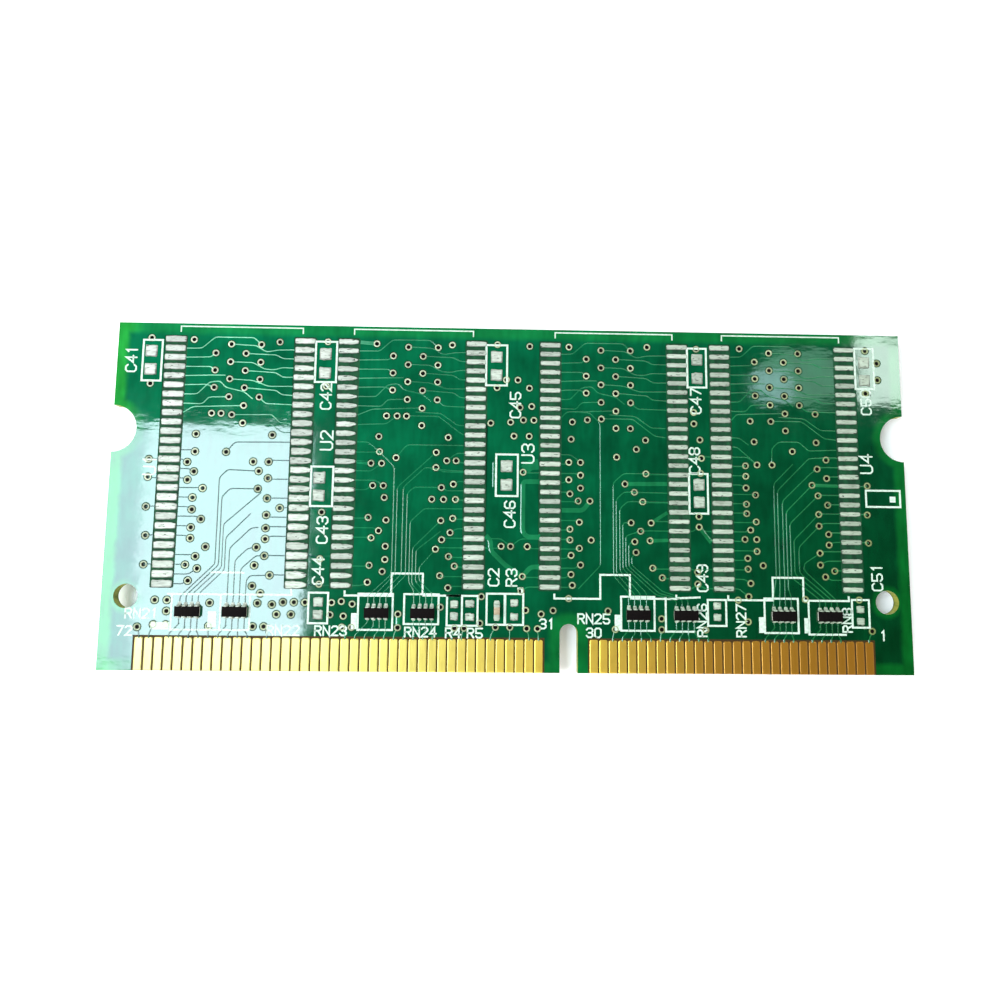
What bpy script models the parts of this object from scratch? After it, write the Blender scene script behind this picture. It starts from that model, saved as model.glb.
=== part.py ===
"""Small-outline memory module: a single-sided 144-contact board with four memory chips.

The board lies flat with its chips underneath. The frame's origin is the middle of the
footprint at the chips' resting faces: +X runs along the contact edge, +Y points away
from it, +Z points up out of the board's back face. Lengths are in metres.
"""
import math

import bmesh
import bpy
from mathutils import Matrix

MM = 0.001

# Board outline
BOARD_LENGTH = 67.6 * MM
BOARD_DEPTH = 29.21 * MM
BOARD_THICKNESS = 1.0 * MM
CHIP_HEIGHT = 1.2 * MM
LATCH_RADIUS = 2.0 * MM
LATCH_FROM_EDGE = 20.0 * MM
HOLE_RADIUS = 1.0 * MM
HOLE_X = 31.8 * MM
HOLE_FROM_EDGE = 6.0 * MM
KEY_X = 4.8 * MM
KEY_WIDTH = 1.5 * MM
KEY_DEPTH = 4.0 * MM

# Board layers, each as the distances of its two faces from the board's middle plane
CORE_HALF = 0.35 * MM
PLANE_FACES = (0.355 * MM, 0.385 * MM)
PREPREG_FACES = (0.39 * MM, 0.455 * MM)
CONTACT_FACES = (0.46 * MM, 0.495 * MM)
MASK_FACES = (0.46 * MM, BOARD_THICKNESS / 2)
PLANE_INSET = 1.0 * MM
PLANE_HOLE_CLEARANCE = 0.5 * MM

# Edge contacts
CONTACT_PITCH = 0.8 * MM
CONTACT_WIDTH = 0.64 * MM
CONTACT_LENGTH = 2.7 * MM
CONTACT_SPINE = 0.1 * MM
MASK_CLEARANCE = 0.15 * MM
CONTACT_GROUPS = {"long": (-30.5 * MM, 42), "short": (6.9 * MM, 30)}

# Memory chips and their spare places on the back
CHIP_X = (-23.42 * MM, -8.7 * MM, 8.7 * MM, 23.42 * MM)
CHIP_FROM_EDGE = 17.43 * MM
CHIP_PINS_PER_SIDE = 27
PAD_LENGTH = 1.86 * MM
PAD_WIDTH = 0.5 * MM
PAD_ROW_X = 5.5 * MM
PAD_SPINE = 0.12 * MM
PAD_FACES = (0.505 * MM, 0.545 * MM)

# Small parts: resistor arrays, decoupling capacitors and the small back capacitor.
# Their places are in millimetres: across from the board's middle, and in from the contact edge.
ARRAY_PLACES = tuple((x, 4.8) for x in (-26.6, -22.75, -11.15, -7.35, 10.6, 14.6, 22.85, 26.75))
ARRAY_SIZE = (2.0 * MM, 1.0 * MM, 0.45 * MM)
ARRAY_PITCH = 0.5 * MM
ARRAY_TERMINAL = 0.32 * MM
ARRAY_RECESS = 0.12 * MM
CAPACITOR_SIZE = (0.8 * MM, 1.6 * MM, 0.8 * MM)
CAPACITOR_PLACES = ((-30.95, 26.1), (-16.0, 26.1), (-16.0, 15.2), (16.0, 15.2), (16.0, 26.1), (30.95, 26.1))
SMALL_CAPACITOR_SIZE = (0.5 * MM, 1.0 * MM, 0.5 * MM)
SMALL_CAPACITOR_PLACE = (-1.2, 5.05)
CAP_END = 0.22
CAPACITOR_WAIST = 0.94
PART_GAP = 0.05 * MM

MID_Z = CHIP_HEIGHT + BOARD_THICKNESS / 2
BACK_Z = CHIP_HEIGHT + BOARD_THICKNESS
WELD = 0.5e-6
ARC_STEPS = 10

# One entry for each kind of moulded package. Its lead rows run along the package's own Y.
MEMORY_PACKAGE = {
    "length": 22.22 * MM, "width": 10.16 * MM, "low": 0.0, "high": 1.0 * MM,
    "pins": CHIP_PINS_PER_SIDE, "pitch": 0.8 * MM, "lead_width": 0.36 * MM, "span": 11.76 * MM,
    "foot": 0.48 * MM, "bar": (0.9 * MM, 1.2 * MM), "die": (6.4 * MM, 17.0 * MM), "dimple": 0.5 * MM,
}
EEPROM_PACKAGE = {
    "length": 3.0 * MM, "width": 4.4 * MM, "low": 0.14 * MM, "high": 1.04 * MM,
    "pins": 4, "pitch": 0.65 * MM, "lead_width": 0.24 * MM, "span": 6.4 * MM,
    "foot": 0.55 * MM, "bar": (1.4 * MM, 1.6 * MM), "die": (1.8 * MM, 2.0 * MM), "dimple": 0.22 * MM,
}
EEPROM_PLACE = (0.0, 19.2)
LEAD_THICKNESS = 0.127 * MM
LEAD_SHOULDER = 0.17 * MM
FOOT_Z = CHIP_HEIGHT - 0.075 * MM
PARTING_GAP = 0.07 * MM
MOULD_DRAFT = 0.06 * MM
DIE_THICKNESS = 0.28 * MM
DIE_GAP = 0.015 * MM
DIE_CLEARANCE = 0.05 * MM
DIMPLE_DEPTH = 0.06 * MM
DIMPLE_FROM_SIDES = 2.5

COLOURS = {
    "laminate": ((0.30, 0.34, 0.14, 1), 0.6, 0.0),
    "mask_green": ((0.005, 0.14, 0.05, 1), 0.3, 0.0),
    "copper": ((0.72, 0.36, 0.2, 1), 0.35, 1.0),
    "gold": ((0.86, 0.58, 0.2, 1), 0.25, 1.0),
    "tin": ((0.72, 0.72, 0.68, 1), 0.35, 1.0),
    "mould_black": ((0.015, 0.015, 0.016, 1), 0.55, 0.0),
    "lead_metal": ((0.6, 0.6, 0.58, 1), 0.3, 1.0),
    "silicon": ((0.12, 0.13, 0.16, 1), 0.2, 0.3),
    "array_black": ((0.02, 0.02, 0.02, 1), 0.4, 0.0),
    "ceramic_tan": ((0.36, 0.27, 0.17, 1), 0.45, 0.0),
}


def clear_scene():
    for item in list(bpy.data.objects):
        bpy.data.objects.remove(item)


def new_collection(name):
    collection = bpy.data.collections.new(name)
    bpy.context.scene.collection.children.link(collection)
    return collection


def make_material(name):
    colour, roughness, metallic = COLOURS[name]
    material = bpy.data.materials.new(name)
    material.use_nodes = True
    shader = material.node_tree.nodes["Principled BSDF"]
    shader.inputs["Base Color"].default_value = colour
    shader.inputs["Roughness"].default_value = roughness
    shader.inputs["Metallic"].default_value = metallic
    material.diffuse_color = colour
    return material


def from_edge(distance):
    """Frame Y of a point this far in from the contact edge."""
    return distance - BOARD_DEPTH / 2


def place(spot):
    """Frame X and Y of a spot given in millimetres across and up from the contact edge."""
    return spot[0] * MM, from_edge(spot[1] * MM)


def add_object(name, mesh, material, collection):
    item = bpy.data.objects.new(name, mesh)
    mesh.materials.clear()
    mesh.materials.append(material)
    collection.objects.link(item)
    return item


def arc(centre, radius, start, end, steps=ARC_STEPS):
    """Points along an arc, with angles in degrees."""
    points = []
    for step in range(steps + 1):
        angle = math.radians(start + (end - start) * step / steps)
        points.append((centre[0] + radius * math.cos(angle), centre[1] + radius * math.sin(angle)))
    return points


def plate(name, outline, holes, low, high, material, collection):
    """A flat piece between two heights, cut to an outline with holes."""
    curve = bpy.data.curves.new(name + "_outline", "CURVE")
    curve.dimensions = "2D"
    curve.fill_mode = "BOTH"
    curve.extrude = (high - low) / 2
    for loop in [outline] + holes:
        spline = curve.splines.new("POLY")
        spline.points.add(len(loop) - 1)
        for point, (x, y) in zip(spline.points, loop):
            point.co = (x, y, 0, 1)
        spline.use_cyclic_u = True
    outline_object = bpy.data.objects.new(name + "_outline", curve)
    collection.objects.link(outline_object)
    bpy.context.view_layer.update()
    evaluated = outline_object.evaluated_get(bpy.context.evaluated_depsgraph_get())
    mesh = bpy.data.meshes.new_from_object(evaluated)
    mesh.name = name
    bpy.data.objects.remove(outline_object)
    bpy.data.curves.remove(curve)
    body = bmesh.new()
    body.from_mesh(mesh)
    bmesh.ops.remove_doubles(body, verts=body.verts, dist=WELD)
    bmesh.ops.recalc_face_normals(body, faces=body.faces)
    body.to_mesh(mesh)
    body.free()
    item = add_object(name, mesh, material, collection)
    item.location.z = (low + high) / 2
    return item


# ---------------------------------------------------------------- board

def board_outline():
    """The board's edge, with the key slot and the two latch notches."""
    right = BOARD_LENGTH / 2
    top = from_edge(BOARD_DEPTH)
    bottom = from_edge(0.0)
    latch = from_edge(LATCH_FROM_EDGE)
    slot_radius = KEY_WIDTH / 2
    points = [(-right, bottom), (KEY_X - slot_radius, bottom)]
    points += arc((KEY_X, from_edge(KEY_DEPTH) - slot_radius), slot_radius, 180, 0)
    points += [(KEY_X + slot_radius, bottom), (right, bottom)]
    points += arc((right, latch), LATCH_RADIUS, 270, 90)
    points += [(right, top), (-right, top)]
    points += arc((-right, latch), LATCH_RADIUS, 90, -90)
    return points


def plane_outline():
    """An inner copper plane: pulled back from the edges, and open round the corner holes."""
    right = BOARD_LENGTH / 2 - PLANE_INSET
    top = from_edge(BOARD_DEPTH) - PLANE_INSET
    bottom = from_edge(0.0) + PLANE_INSET
    latch = from_edge(LATCH_FROM_EDGE)
    slot_radius = KEY_WIDTH / 2 + PLANE_INSET
    notch_radius = LATCH_RADIUS + PLANE_INSET
    notch_reach = math.degrees(math.asin(PLANE_INSET / notch_radius))
    bite_radius = HOLE_RADIUS + PLANE_HOLE_CLEARANCE
    bite_mouth = math.degrees(math.acos((right - HOLE_X) / bite_radius))
    hole_y = from_edge(HOLE_FROM_EDGE)
    points = [(-right, bottom), (KEY_X - slot_radius, bottom)]
    points += arc((KEY_X, from_edge(KEY_DEPTH - KEY_WIDTH / 2)), slot_radius, 180, 0)
    points += [(KEY_X + slot_radius, bottom), (right, bottom)]
    points += arc((HOLE_X, hole_y), bite_radius, -bite_mouth, -360 + bite_mouth)
    points += arc((BOARD_LENGTH / 2, latch), notch_radius, 270 - notch_reach, 90 + notch_reach)
    points += [(right, top), (-right, top)]
    points += arc((-BOARD_LENGTH / 2, latch), notch_radius, 90 - notch_reach, -90 + notch_reach)
    points += arc((-HOLE_X, hole_y), bite_radius, 180 - bite_mouth, -180 + bite_mouth)
    return points


def corner_holes():
    loops = []
    for side in (-1, 1):
        centre = (side * HOLE_X, from_edge(HOLE_FROM_EDGE))
        loops.append(arc(centre, HOLE_RADIUS, 0, 360, 2 * ARC_STEPS)[:-1])
    return loops


def mask_outline():
    """The board's edge, stepping in round the two groups of bare contacts."""
    outline = board_outline()
    bottom = outline[0][1]
    window_top = from_edge(CONTACT_LENGTH + MASK_CLEARANCE)
    windows = []
    for first, count in CONTACT_GROUPS.values():
        side = CONTACT_WIDTH / 2 + MASK_CLEARANCE
        left = first - side
        right = first + (count - 1) * CONTACT_PITCH + side
        windows.append([(left, bottom), (left, window_top), (right, window_top), (right, bottom)])
    corners_after_slot = 2 + ARC_STEPS + 1
    before = outline[:1] + windows[0] + outline[1:corners_after_slot + 1]
    return before + windows[1] + outline[corners_after_slot + 1:]


def make_board(materials, collection):
    core_faces = (-CORE_HALF, CORE_HALF)
    holes = corner_holes()
    make_layer("laminate_core", board_outline(), holes, core_faces, materials["laminate"], collection)
    for side, plane, sign in (("back", "ground_plane", 1), ("front", "power_plane", -1)):
        plane_faces = mirrored(PLANE_FACES, sign)
        prepreg_faces = mirrored(PREPREG_FACES, sign)
        mask_faces = mirrored(MASK_FACES, sign)
        prepreg_name = "prepreg_" + side
        mask_name = "solder_mask_" + side
        make_layer(plane, plane_outline(), [], plane_faces, materials["copper"], collection)
        make_layer(prepreg_name, board_outline(), holes, prepreg_faces, materials["laminate"], collection)
        make_layer(mask_name, mask_outline(), holes, mask_faces, materials["mask_green"], collection)


def mirrored(faces, sign):
    """A layer's two face distances on the given side of the middle plane, low one first."""
    return tuple(sorted(sign * face for face in faces))


def make_layer(name, outline, holes, faces, material, collection):
    return plate(name, outline, holes, MID_Z + faces[0], MID_Z + faces[1], material, collection)


def comb(first, count):
    """Contacts side by side from the board's edge, joined at their inner ends by a thin spine."""
    bottom = from_edge(0.0)
    top = from_edge(CONTACT_LENGTH)
    root = top - CONTACT_SPINE
    half = CONTACT_WIDTH / 2
    points = []
    for number in range(count):
        left = first + number * CONTACT_PITCH - half
        right = left + CONTACT_WIDTH
        points += [(left, root), (left, bottom), (right, bottom), (right, root)]
    points[0] = (first - half, top)
    points[-1] = (first + (count - 1) * CONTACT_PITCH + half, top)
    return points


def make_contacts(materials, collection):
    for side, sign in (("back", 1), ("front", -1)):
        faces = mirrored(CONTACT_FACES, sign)
        for group, (first, count) in CONTACT_GROUPS.items():
            name = "contacts_" + side + "_" + group
            make_layer(name, comb(first, count), [], faces, materials["gold"], collection)


def pad_frame(centre_x):
    """The 54 solder pads of one chip place: two columns, each on a thin spine, and a link between."""
    pitch = MEMORY_PACKAGE["pitch"]
    half = PAD_WIDTH / 2
    inner = PAD_ROW_X - PAD_LENGTH / 2
    spine = inner + PAD_SPINE
    outer = PAD_ROW_X + PAD_LENGTH / 2
    first = from_edge(CHIP_FROM_EDGE) - (CHIP_PINS_PER_SIDE - 1) / 2 * pitch
    rows = [first + row * pitch for row in range(CHIP_PINS_PER_SIDE)]
    column = []
    for y in rows:
        column += [(spine, y - half), (outer, y - half), (outer, y + half), (spine, y + half)]
    column[0] = (inner, rows[0] - half)
    column[-1] = (outer, rows[-1] + half)
    column.pop(-2)
    link = rows[-1] + half - PAD_SPINE
    right_side = [(inner, link)] + column
    left_side = [(-x, y) for x, y in reversed(right_side)]
    return [(centre_x + x, y) for x, y in right_side + left_side]


def make_chip_places(materials, collection):
    for number, centre_x in enumerate(CHIP_X, start=1):
        name = "spare_chip_pads_" + str(number)
        make_layer(name, pad_frame(centre_x), [], PAD_FACES, materials["tin"], collection)


# ---------------------------------------------------------------- packages

def mould_half(name, package, outer_z, inner_z, material, collection):
    """One half of a moulded body: a block whose outer face is drafted in from the parting line."""
    body = bmesh.new()
    bmesh.ops.create_cube(body, size=1.0)
    height = abs(outer_z - inner_z)
    for vert in body.verts:
        at_outer_face = (vert.co.z > 0) == (outer_z > inner_z)
        draft = 2 * MOULD_DRAFT if at_outer_face else 0.0
        vert.co.x *= package["width"] - draft
        vert.co.y *= package["length"] - draft
        vert.co.z = vert.co.z * height + (outer_z + inner_z) / 2
    mesh = bpy.data.meshes.new(name)
    body.to_mesh(mesh)
    body.free()
    return add_object(name, mesh, material, collection)


def block(name, size, centre, material, collection):
    body = bmesh.new()
    bmesh.ops.create_cube(body, size=1.0)
    bmesh.ops.scale(body, vec=size, verts=body.verts)
    bmesh.ops.translate(body, vec=centre, verts=body.verts)
    mesh = bpy.data.meshes.new(name)
    body.to_mesh(mesh)
    body.free()
    return add_object(name, mesh, material, collection)


def cut(item, cutter, cutters, collection):
    """Take the cutter out of the item, and keep the cutter as a hidden guide."""
    collection.objects.unlink(cutter)
    cutters.objects.link(cutter)
    cutter.hide_render = True
    cutter.display_type = "WIRE"
    modifier = item.modifiers.new("cut_" + cutter.name, "BOOLEAN")
    modifier.operation = "DIFFERENCE"
    modifier.solver = "EXACT"
    modifier.object = cutter


def dimple_cutter(name, package, material, collection):
    body = bmesh.new()
    radius = package["dimple"]
    x = DIMPLE_FROM_SIDES * radius - package["width"] / 2
    y = package["length"] / 2 - DIMPLE_FROM_SIDES * radius
    bmesh.ops.create_cone(
        body, cap_ends=True, segments=16, radius1=radius, radius2=radius,
        depth=2 * DIMPLE_DEPTH, matrix=Matrix.Translation((x, y, package["low"])))
    mesh = bpy.data.meshes.new(name)
    body.to_mesh(mesh)
    body.free()
    return add_object(name, mesh, material, collection)


def leadframe(name, package, material, collection):
    """All of a package's leads in one sheet: feet, gull-wing bends and two inner bars with end ties."""
    parting_z = (package["low"] + package["high"]) / 2
    body_side = package["width"] / 2
    tip = package["span"] / 2
    knee = tip - package["foot"]
    shoulder = body_side + LEAD_SHOULDER
    level = [(x, parting_z) for x in (*package["bar"], shoulder)]
    half_path = level + [(knee, FOOT_Z), (tip, FOOT_Z)]
    path = [(-x, z) for x, z in reversed(half_path)] + half_path
    rows = 2 * package["pins"] - 1
    sheet = bmesh.new()
    bmesh.ops.create_grid(sheet, x_segments=len(path) - 1, y_segments=rows, size=0.5)
    columns = len(path) - 1
    bars = (3, 5)
    middle = 4
    doomed = []
    for face in sheet.faces:
        centre = face.calc_center_median()
        column = int((centre.x + 0.5) * columns)
        row = int((centre.y + 0.5) * rows)
        is_gap = row % 2 == 1
        is_end = row in (0, rows - 1)
        if (is_gap and column not in bars) or (column == middle and not is_end):
            doomed.append(face)
    bmesh.ops.delete(sheet, geom=doomed, context="FACES")
    first = -(package["pins"] - 1) / 2 * package["pitch"]
    for vert in sheet.verts:
        column = round((vert.co.x + 0.5) * columns)
        edge = round((vert.co.y + 0.5) * rows)
        side = 1 if edge % 2 else -1
        x, z = path[column]
        vert.co = (x, first + edge // 2 * package["pitch"] + side * package["lead_width"] / 2, z)
    mesh = bpy.data.meshes.new(name)
    sheet.to_mesh(mesh)
    sheet.free()
    item = add_object(name, mesh, material, collection)
    solid = item.modifiers.new("thickness", "SOLIDIFY")
    solid.thickness = LEAD_THICKNESS
    solid.offset = 0.0
    solid.use_even_offset = True
    return item


def make_package(label, package, spot, turn, materials, collection, cutters):
    """A moulded package: cover, base with a pocket for the die, die and lead frame."""
    parting_z = (package["low"] + package["high"]) / 2
    black = materials["mould_black"]
    cover = mould_half(label + "_cover", package, package["low"], parting_z - PARTING_GAP, black, collection)
    base = mould_half(label + "_base", package, package["high"], parting_z + PARTING_GAP, black, collection)
    frame = leadframe(label + "_leadframe", package, materials["lead_metal"], collection)
    die_width, die_length = package["die"]
    die_low = parting_z + PARTING_GAP + DIE_GAP
    die_z = die_low + DIE_THICKNESS / 2
    die_size = (die_width, die_length, DIE_THICKNESS)
    die = block(label + "_die", die_size, (0, 0, die_z), materials["silicon"], collection)
    pocket_size = (die_width + 2 * DIE_CLEARANCE, die_length + 2 * DIE_CLEARANCE, DIE_THICKNESS + 4 * DIE_GAP)
    pocket = block(label + "_pocket", pocket_size, (0, 0, die_z), black, collection)
    dimple = dimple_cutter(label + "_dimple", package, black, collection)
    cut(base, pocket, cutters, collection)
    cut(cover, dimple, cutters, collection)
    for item in (cover, base, frame, die, pocket, dimple):
        item.location.x = spot[0]
        item.location.y = spot[1]
        item.rotation_euler.z = turn


# ---------------------------------------------------------------- small parts

def array_outline(centre):
    """A chip resistor array seen from above: four raised terminals along each long side."""
    half_length, half_depth = ARRAY_SIZE[0] / 2, ARRAY_SIZE[1] / 2
    waist = half_depth - ARRAY_RECESS
    side = [(-half_length, -waist)]
    for number in range(4):
        middle = (number - 1.5) * ARRAY_PITCH
        left, right = middle - ARRAY_TERMINAL / 2, middle + ARRAY_TERMINAL / 2
        side += [(left, -waist), (left, -half_depth), (right, -half_depth), (right, -waist)]
    side.append((half_length, -waist))
    points = side + [(-x, -y) for x, y in side]
    return [(centre[0] + x, centre[1] + y) for x, y in points]


def capacitor_outline(centre, size):
    """A chip capacitor seen from above: two end caps slightly wider than the ceramic."""
    half_width, half_length = size[0] / 2, size[1] / 2
    waist = half_width * CAPACITOR_WAIST
    cap = half_length - CAP_END * size[1]
    side = [(half_width, -half_length), (half_width, -cap), (waist, -cap)]
    side += [(x, -y) for x, y in reversed(side)]
    points = side + [(-x, -y) for x, y in side]
    return [(centre[0] + x, centre[1] + y) for x, y in points]


def small_part_heights(height, side):
    """Low and high face of a small part soldered to the back or the front of the board."""
    if side == "back":
        low = BACK_Z + PART_GAP
        return low, low + height
    high = CHIP_HEIGHT - PART_GAP
    return high - height, high


def make_small_parts(materials, collection):
    for side in ("back", "front"):
        low, high = small_part_heights(ARRAY_SIZE[2], side)
        for number, spot in enumerate(ARRAY_PLACES, start=1):
            name = "resistor_array_" + side + "_" + str(number)
            outline = array_outline(place(spot))
            plate(name, outline, [], low, high, materials["array_black"], collection)
    low, high = small_part_heights(CAPACITOR_SIZE[2], "front")
    for number, spot in enumerate(CAPACITOR_PLACES, start=1):
        outline = capacitor_outline(place(spot), CAPACITOR_SIZE)
        plate("capacitor_front_" + str(number), outline, [], low, high, materials["ceramic_tan"], collection)
    low, high = small_part_heights(SMALL_CAPACITOR_SIZE[2], "back")
    outline = capacitor_outline(place(SMALL_CAPACITOR_PLACE), SMALL_CAPACITOR_SIZE)
    plate("capacitor_back", outline, [], low, high, materials["ceramic_tan"], collection)


def main():
    clear_scene()
    collection = new_collection("memory_module")
    cutters = new_collection("cutters")
    materials = {name: make_material(name) for name in COLOURS}
    make_board(materials, collection)
    make_contacts(materials, collection)
    make_chip_places(materials, collection)
    for number, x in enumerate(CHIP_X, start=1):
        spot = (x, from_edge(CHIP_FROM_EDGE))
        make_package("memory_chip_" + str(number), MEMORY_PACKAGE, spot, 0.0, materials, collection, cutters)
    make_package("eeprom", EEPROM_PACKAGE, place(EEPROM_PLACE), math.pi / 2, materials, collection, cutters)
    make_small_parts(materials, collection)
    bpy.context.view_layer.update()


main()
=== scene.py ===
"""Looks of a small-outline memory module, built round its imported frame.

The module lies on its chips, and the camera looks down on the back face, where no chips are
fitted. Layouts are in millimetres on one face of the board: x across from the middle, y in from
the contact edge and h out of the face. The back is seen from +Z and the front from -Z, so x
runs to the right on both.
"""

import math
import random

import bmesh
import bpy
from mathutils import Matrix, Vector, noise
from mathutils.geometry import tessellate_polygon


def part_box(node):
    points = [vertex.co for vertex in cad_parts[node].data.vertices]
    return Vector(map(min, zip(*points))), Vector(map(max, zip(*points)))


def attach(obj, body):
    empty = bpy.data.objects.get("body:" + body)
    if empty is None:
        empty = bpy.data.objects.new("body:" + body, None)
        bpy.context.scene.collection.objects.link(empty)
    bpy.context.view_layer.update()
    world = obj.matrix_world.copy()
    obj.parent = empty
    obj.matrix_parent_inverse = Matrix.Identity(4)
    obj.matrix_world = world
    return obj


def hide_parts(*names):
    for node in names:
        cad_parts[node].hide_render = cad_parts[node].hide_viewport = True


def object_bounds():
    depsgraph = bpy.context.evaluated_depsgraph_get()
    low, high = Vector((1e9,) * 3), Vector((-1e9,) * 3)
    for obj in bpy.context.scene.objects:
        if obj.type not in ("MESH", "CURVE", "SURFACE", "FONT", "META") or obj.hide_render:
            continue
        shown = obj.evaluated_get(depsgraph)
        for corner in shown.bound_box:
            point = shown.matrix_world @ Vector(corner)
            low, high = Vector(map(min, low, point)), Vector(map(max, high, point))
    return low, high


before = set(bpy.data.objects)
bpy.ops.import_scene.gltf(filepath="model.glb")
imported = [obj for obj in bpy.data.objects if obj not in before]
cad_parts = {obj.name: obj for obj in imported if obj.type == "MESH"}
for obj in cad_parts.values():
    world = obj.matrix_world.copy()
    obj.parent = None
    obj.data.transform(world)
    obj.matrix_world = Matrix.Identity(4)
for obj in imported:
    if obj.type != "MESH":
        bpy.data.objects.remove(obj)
cad_low, cad_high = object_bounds()

MM = 0.001
dice = random.Random(7)


# ---------------------------------------------------------------- places in the frame

def box_mm(node):
    low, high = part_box(node)
    return low / MM, high / MM


def middle_mm(node):
    low, high = box_mm(node)
    return (low + high) / 2


CORE_LOW, CORE_HIGH = box_mm("laminate_core")
EDGE_Y = CORE_LOW.y
DEPTH = CORE_HIGH.y - CORE_LOW.y
HALF = CORE_HIGH.x
BACK_Z = box_mm("solder_mask_back")[1].z
FRONT_Z = box_mm("solder_mask_front")[0].z
CHIP_NUMBERS = (1, 2, 3, 4)
CHIPS = [middle_mm("spare_chip_pads_%d" % number) for number in CHIP_NUMBERS]
CHIP_X = [middle.x for middle in CHIPS]
CHIP_Y = CHIPS[0].y - EDGE_Y

# Board features, as on the CAD board
LATCH_RADIUS, LATCH_Y = 2.0, 20.0
HOLE_RADIUS, HOLE_X, HOLE_Y = 1.0, 31.8, 6.0
KEY_X, KEY_WIDTH, KEY_DEPTH = 4.8, 1.5, 4.0
PLANE_INSET = 1.0

PAD_PITCH, PAD_ROWS = 0.8, 27
PAD_X, PAD_LENGTH, PAD_WIDTH = 5.5, 1.86, 0.56
ROWS = [CHIP_Y + (row - (PAD_ROWS - 1) / 2) * PAD_PITCH for row in range(PAD_ROWS)]
FINGER_PITCH, FINGER_WIDTH, FINGER_LENGTH = 0.8, 0.67, 2.7
FINGER_GROUPS = {"long": (-30.5, 42), "short": (6.9, 30)}
ARRAY_NUMBERS = range(1, 9)
ARRAY_X = [middle_mm("resistor_array_back_%d" % number).x for number in ARRAY_NUMBERS]
TERMINALS = (-0.75, -0.25, 0.25, 0.75)

VIA_RING, VIA_CLEARANCE, VIA_BARREL, VIA_HOLE = 0.285, 0.37, 0.2, 0.178
PLANE_CLEARANCE = 0.33
WINDOW_MARGIN = 0.15
COPPER_SEAT = -0.045


class Side:
    """One face of the board, which turns layout coordinates into places in the frame and back."""

    def __init__(self, name, face, flip):
        self.name, self.face, self.flip = name, face, flip

    def place(self, x, y, h):
        return Vector((self.flip * x, EDGE_Y + y, self.face + self.flip * h)) * MM

    def middle(self, node):
        """A node's middle in this face's layout."""
        middle = middle_mm(node)
        return self.flip * middle.x, middle.y - EDGE_Y


BACK = Side("back", BACK_Z, 1)
FRONT = Side("front", FRONT_Z, -1)


# ---------------------------------------------------------------- outlines

def arc(x, y, radius, start, end, steps):
    """Points along an arc, with its angles in degrees."""
    turns = [math.radians(start + (end - start) * step / steps) for step in range(steps + 1)]
    return [(x + radius * math.cos(a), y + radius * math.sin(a)) for a in turns]


def circle(x, y, radius, steps=16):
    return arc(x, y, radius, 0, 360, steps)[:-1]


def rounded(x, y, width, depth, radius, corner=3, along=1):
    """A rectangle round (x, y) with rounded corners, its sides cut in `along` lengths."""
    radius = min(radius, 0.499 * width, 0.499 * depth)
    inner_x, inner_y = width / 2 - radius, depth / 2 - radius
    points = []
    for quarter, (sx, sy) in enumerate(((1, 1), (-1, 1), (-1, -1), (1, -1))):
        bend = arc(x + sx * inner_x, y + sy * inner_y, radius, 90 * quarter, 90 * quarter + 90, corner)
        if points:
            points += between(points[-1], bend[0], along)
        points += bend
    return points + between(points[-1], points[0], along)


def between(a, b, count):
    """The points that cut a line into so many equal lengths, without its ends."""
    across, along = b[0] - a[0], b[1] - a[1]
    return [(a[0] + across * i / count, a[1] + along * i / count) for i in range(1, count)]


def rectangle(x0, y0, x1, y1):
    return [(x0, y0), (x1, y0), (x1, y1), (x0, y1)]


def mirrored(points):
    return [(-x, y) for x, y in points]


def at_height(outline, h):
    return [(x, y, h) for x, y in outline]


def soften(path, radius, steps=3):
    """The same path with each inner corner rounded."""
    points = [Vector(path[0])]
    for before, here, after in zip(path, path[1:], path[2:]):
        here = Vector(here)
        back, on = Vector(before) - here, Vector(after) - here
        reach = min(radius, back.length / 2, on.length / 2)
        start, end = here + back.normalized() * reach, here + on.normalized() * reach
        for step in range(steps + 1):
            t = step / steps
            points.append(start.lerp(here, t).lerp(here.lerp(end, t), t))
    points.append(Vector(path[-1]))
    return points


# ---------------------------------------------------------------- gathering a piece

LAYERS, LAYER_STEP = 9, 0.0004
RIDGE_FOOT = -0.02
SHARPEST_MITRE = 0.35


def faces_between(size, count, start=0, loop=False):
    """The faces that join rings of `size` points in turn, with the first ring's points from `start`."""
    faces = []
    for ring in range(count if loop else count - 1):
        low, high = start + ring * size, start + (ring + 1) % count * size
        for index in range(size):
            following = (index + 1) % size
            faces.append([low + index, low + following, high + following, high + index])
    return faces


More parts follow.
